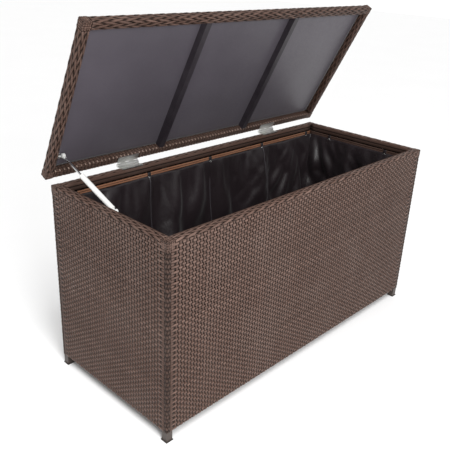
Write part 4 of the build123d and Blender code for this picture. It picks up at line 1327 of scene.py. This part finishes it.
# %% Hard parts
def coated_material(name, colour, patch, roughness,
                    metallic=0.0, relief=0.04, fine=420.0, coat=0.0):
    """A hard finish: colour to patch colour by slow noise, and roughness from fine noise.
    relief is the depth of the surface's texture in millimetres, and fine its scale."""
    material, tree, shader = new_material(name)
    worn = use_group(tree, WEAR, Patch_Scale=22.0, Speck_Scale=fine)
    tint = mix_colour(tree, ramp(tree, worn.outputs["Patch"], 0.35, 0.7), colour, patch)
    dusty = mix_colour(tree, ramp(tree, worn.outputs["Speck"], 0.58, 0.80, 0.0, 0.35), tint, patch)
    tree.links.new(dusty, shader.inputs["Base Color"])
    rough_by(tree, shader, worn.outputs["Speck"], roughness)
    shader.inputs["Metallic"].default_value = metallic
    shader.inputs["Coat Weight"].default_value = coat
    bump(tree, shader, worn.outputs["Speck"], relief * MM, 0.5)
    return material


HARD_RECIPES = {
    "frame_tube": ("powder_coat_brown", (0.045, 0.032, 0.027), (0.070, 0.052, 0.044), (0.38, 0.55)),
    "lid_bar": ("powder_coat_black", (0.019, 0.014, 0.019), (0.033, 0.027, 0.033), (0.38, 0.55)),
    "zinc_steel": (
        "zinc_plate", (0.66, 0.66, 0.64), (0.82, 0.82, 0.80), (0.26, 0.44), 1.0, 0.03, 300.0),
    "strut_paint": (
        "strut_silver_paint", (0.80, 0.80, 0.78), (0.70, 0.70, 0.68), (0.22, 0.34),
        0.0, 0.02, 500.0, 0.4),
    "strut_rod": (
        "polished_rod", (0.80, 0.80, 0.80), (0.66, 0.66, 0.67), (0.12, 0.24), 1.0, 0.01, 700.0),
    "strut_fitting": (
        "nylon_light", (0.66, 0.66, 0.65), (0.56, 0.56, 0.54), (0.40, 0.56), 0.0, 0.05, 600.0),
    "glide": (
        "moulded_glide", (0.022, 0.018, 0.016), (0.040, 0.034, 0.030), (0.5, 0.7),
        0.0, 0.08, 500.0),
}
HARD = {slot: coated_material(*recipe) for slot, recipe in HARD_RECIPES.items()}
print("hard finishes", sorted(HARD))

# %% [markdown]
# Cloth reads as cloth through its sheen and its threads. The liner is coated black
# polyester, with a soft gloss on its folds, its seams have a paler binding, and the
# lining is dull grey.

# %% Cloth
def cloth_material(name, colour, patch, roughness, sheen, threads):
    """Thread relief from the cloth's own UV, colour with slow patches, and a soft sheen."""
    material, tree, shader = new_material(name)
    weave = use_group(tree, THREADS, Threads=threads)
    worn = use_group(tree, WEAR, Patch_Scale=5.0, Speck_Scale=130.0)
    tint = mix_colour(tree, ramp(tree, worn.outputs["Patch"], 0.35, 0.7), colour, patch)
    crossings = ramp(tree, weave.outputs["Thread"], -1.0, 1.0, 0.0, 0.3)
    tree.links.new(mix_colour(tree, crossings, tint, patch), shader.inputs["Base Color"])
    rough_by(tree, shader, worn.outputs["Speck"], roughness)
    shader.inputs["Sheen Weight"].default_value = sheen
    shader.inputs["Sheen Roughness"].default_value = 0.45
    bump(tree, shader, weave.outputs["Thread"], 0.06 * MM, 0.35)
    return material


CLOTH_RECIPES = {
    "liner": (
        "liner_cloth", (0.0085, 0.0052, 0.0062), (0.015, 0.010, 0.012), (0.33, 0.45), 0.05, 5200.0),
    "seam": (
        "seam_binding", (0.030, 0.026, 0.030), (0.045, 0.040, 0.045), (0.30, 0.42), 0.10, 2600.0),
    "lining": (
        "lining_cloth", (0.066, 0.057, 0.071), (0.088, 0.077, 0.094), (0.36, 0.48), 0.15, 4200.0),
}
CLOTH = {slot: cloth_material(*recipe) for slot, recipe in CLOTH_RECIPES.items()}
liner.data.materials.append(CLOTH["liner"])
liner_seams.data.materials.append(CLOTH["seam"])
tapes.data.materials.append(CLOTH["liner"])
lining.data.materials.append(CLOTH["lining"])
eyelets.data.materials.append(HARD["zinc_steel"])
for part in frame["record"]["subparts"]:
    thing = frame["nodes"][part["node"]]
    thing.data.materials.clear()
    thing.data.materials.append((HARD | CLOTH).get(part["material_slot"], wicker))
print("finishes", len(HARD) + len(CLOTH) + 1)

# %% [markdown]
# A white floor and white surroundings keep the light soft. The surroundings look whiter
# than the light that they give: their strength is raised for what the camera sees only,
# so the box keeps its shading. A broad distant key light stands high at the front left,
# and a lamp close by brightens the box's near corner.

# %% Floor and light
FLOOR_REACH = 14.0
floor_mesh = bpy.data.meshes.new("studio_floor")
floor_corners = [
    (x * FLOOR_REACH, y * FLOOR_REACH, 0) for x, y in ((-1, -1), (1, -1), (1, 1), (-1, 1))
]
floor_mesh.from_pydata(floor_corners, [], [(0, 1, 2, 3)])
studio_floor = bpy.data.objects.new("studio_floor", floor_mesh)
bpy.context.collection.objects.link(studio_floor)
floor_finish, floor_tree, floor_shader = new_material("studio_floor_paint")
floor_worn = use_group(floor_tree, WEAR, Patch_Scale=1.5, Speck_Scale=40.0)
floor_tint = mix_colour(
    floor_tree, floor_worn.outputs["Patch"], (0.90, 0.90, 0.90), (0.93, 0.93, 0.93))
floor_tree.links.new(floor_tint, floor_shader.inputs["Base Color"])
floor_shader.inputs["Roughness"].default_value = 0.9
floor_mesh.materials.append(floor_finish)


def lamp(kind, name, place, target, energy, size):
    """A soft lamp at a place, turned to face a target. size is a square lamp's side in
    metres, or the width in degrees over which a distant one spreads its light."""
    light = bpy.data.lights.new(name, kind)
    light.energy = energy
    if kind == "SUN":
        light.angle = radians(size)
    else:
        light.size = size
    holder = bpy.data.objects.new(name, light)
    bpy.context.collection.objects.link(holder)
    holder.location = place
    holder.rotation_euler = (Vector(target) - Vector(place)).to_track_quat("-Z", "Y").to_euler()


lamp("SUN", "key_light", (-1.2, -2.2, 4.6), (0.0, 0.0, 0.4), 2.0, 30.0)
lamp("AREA", "near_lamp", (-1.2, -2.0, 1.5), (-0.5, 0.0, 0.4), 34.0, 0.8)
SOFT_LIGHT, BACKDROP = 0.55, 1.06
world = bpy.context.scene.world or bpy.data.worlds.new("studio")
bpy.context.scene.world = world
world.use_nodes = True
backdrop = world.node_tree.nodes["Background"]
backdrop.inputs["Color"].default_value = (1.0, 1.0, 1.0, 1.0)
seen = world.node_tree.nodes.new("ShaderNodeLightPath").outputs["Is Camera Ray"]
glow = math_node(world.node_tree, "MULTIPLY_ADD", seen, BACKDROP - SOFT_LIGHT, SOFT_LIGHT)
world.node_tree.links.new(glow, backdrop.inputs["Strength"])
bpy.context.scene.view_settings.view_transform = "Standard"
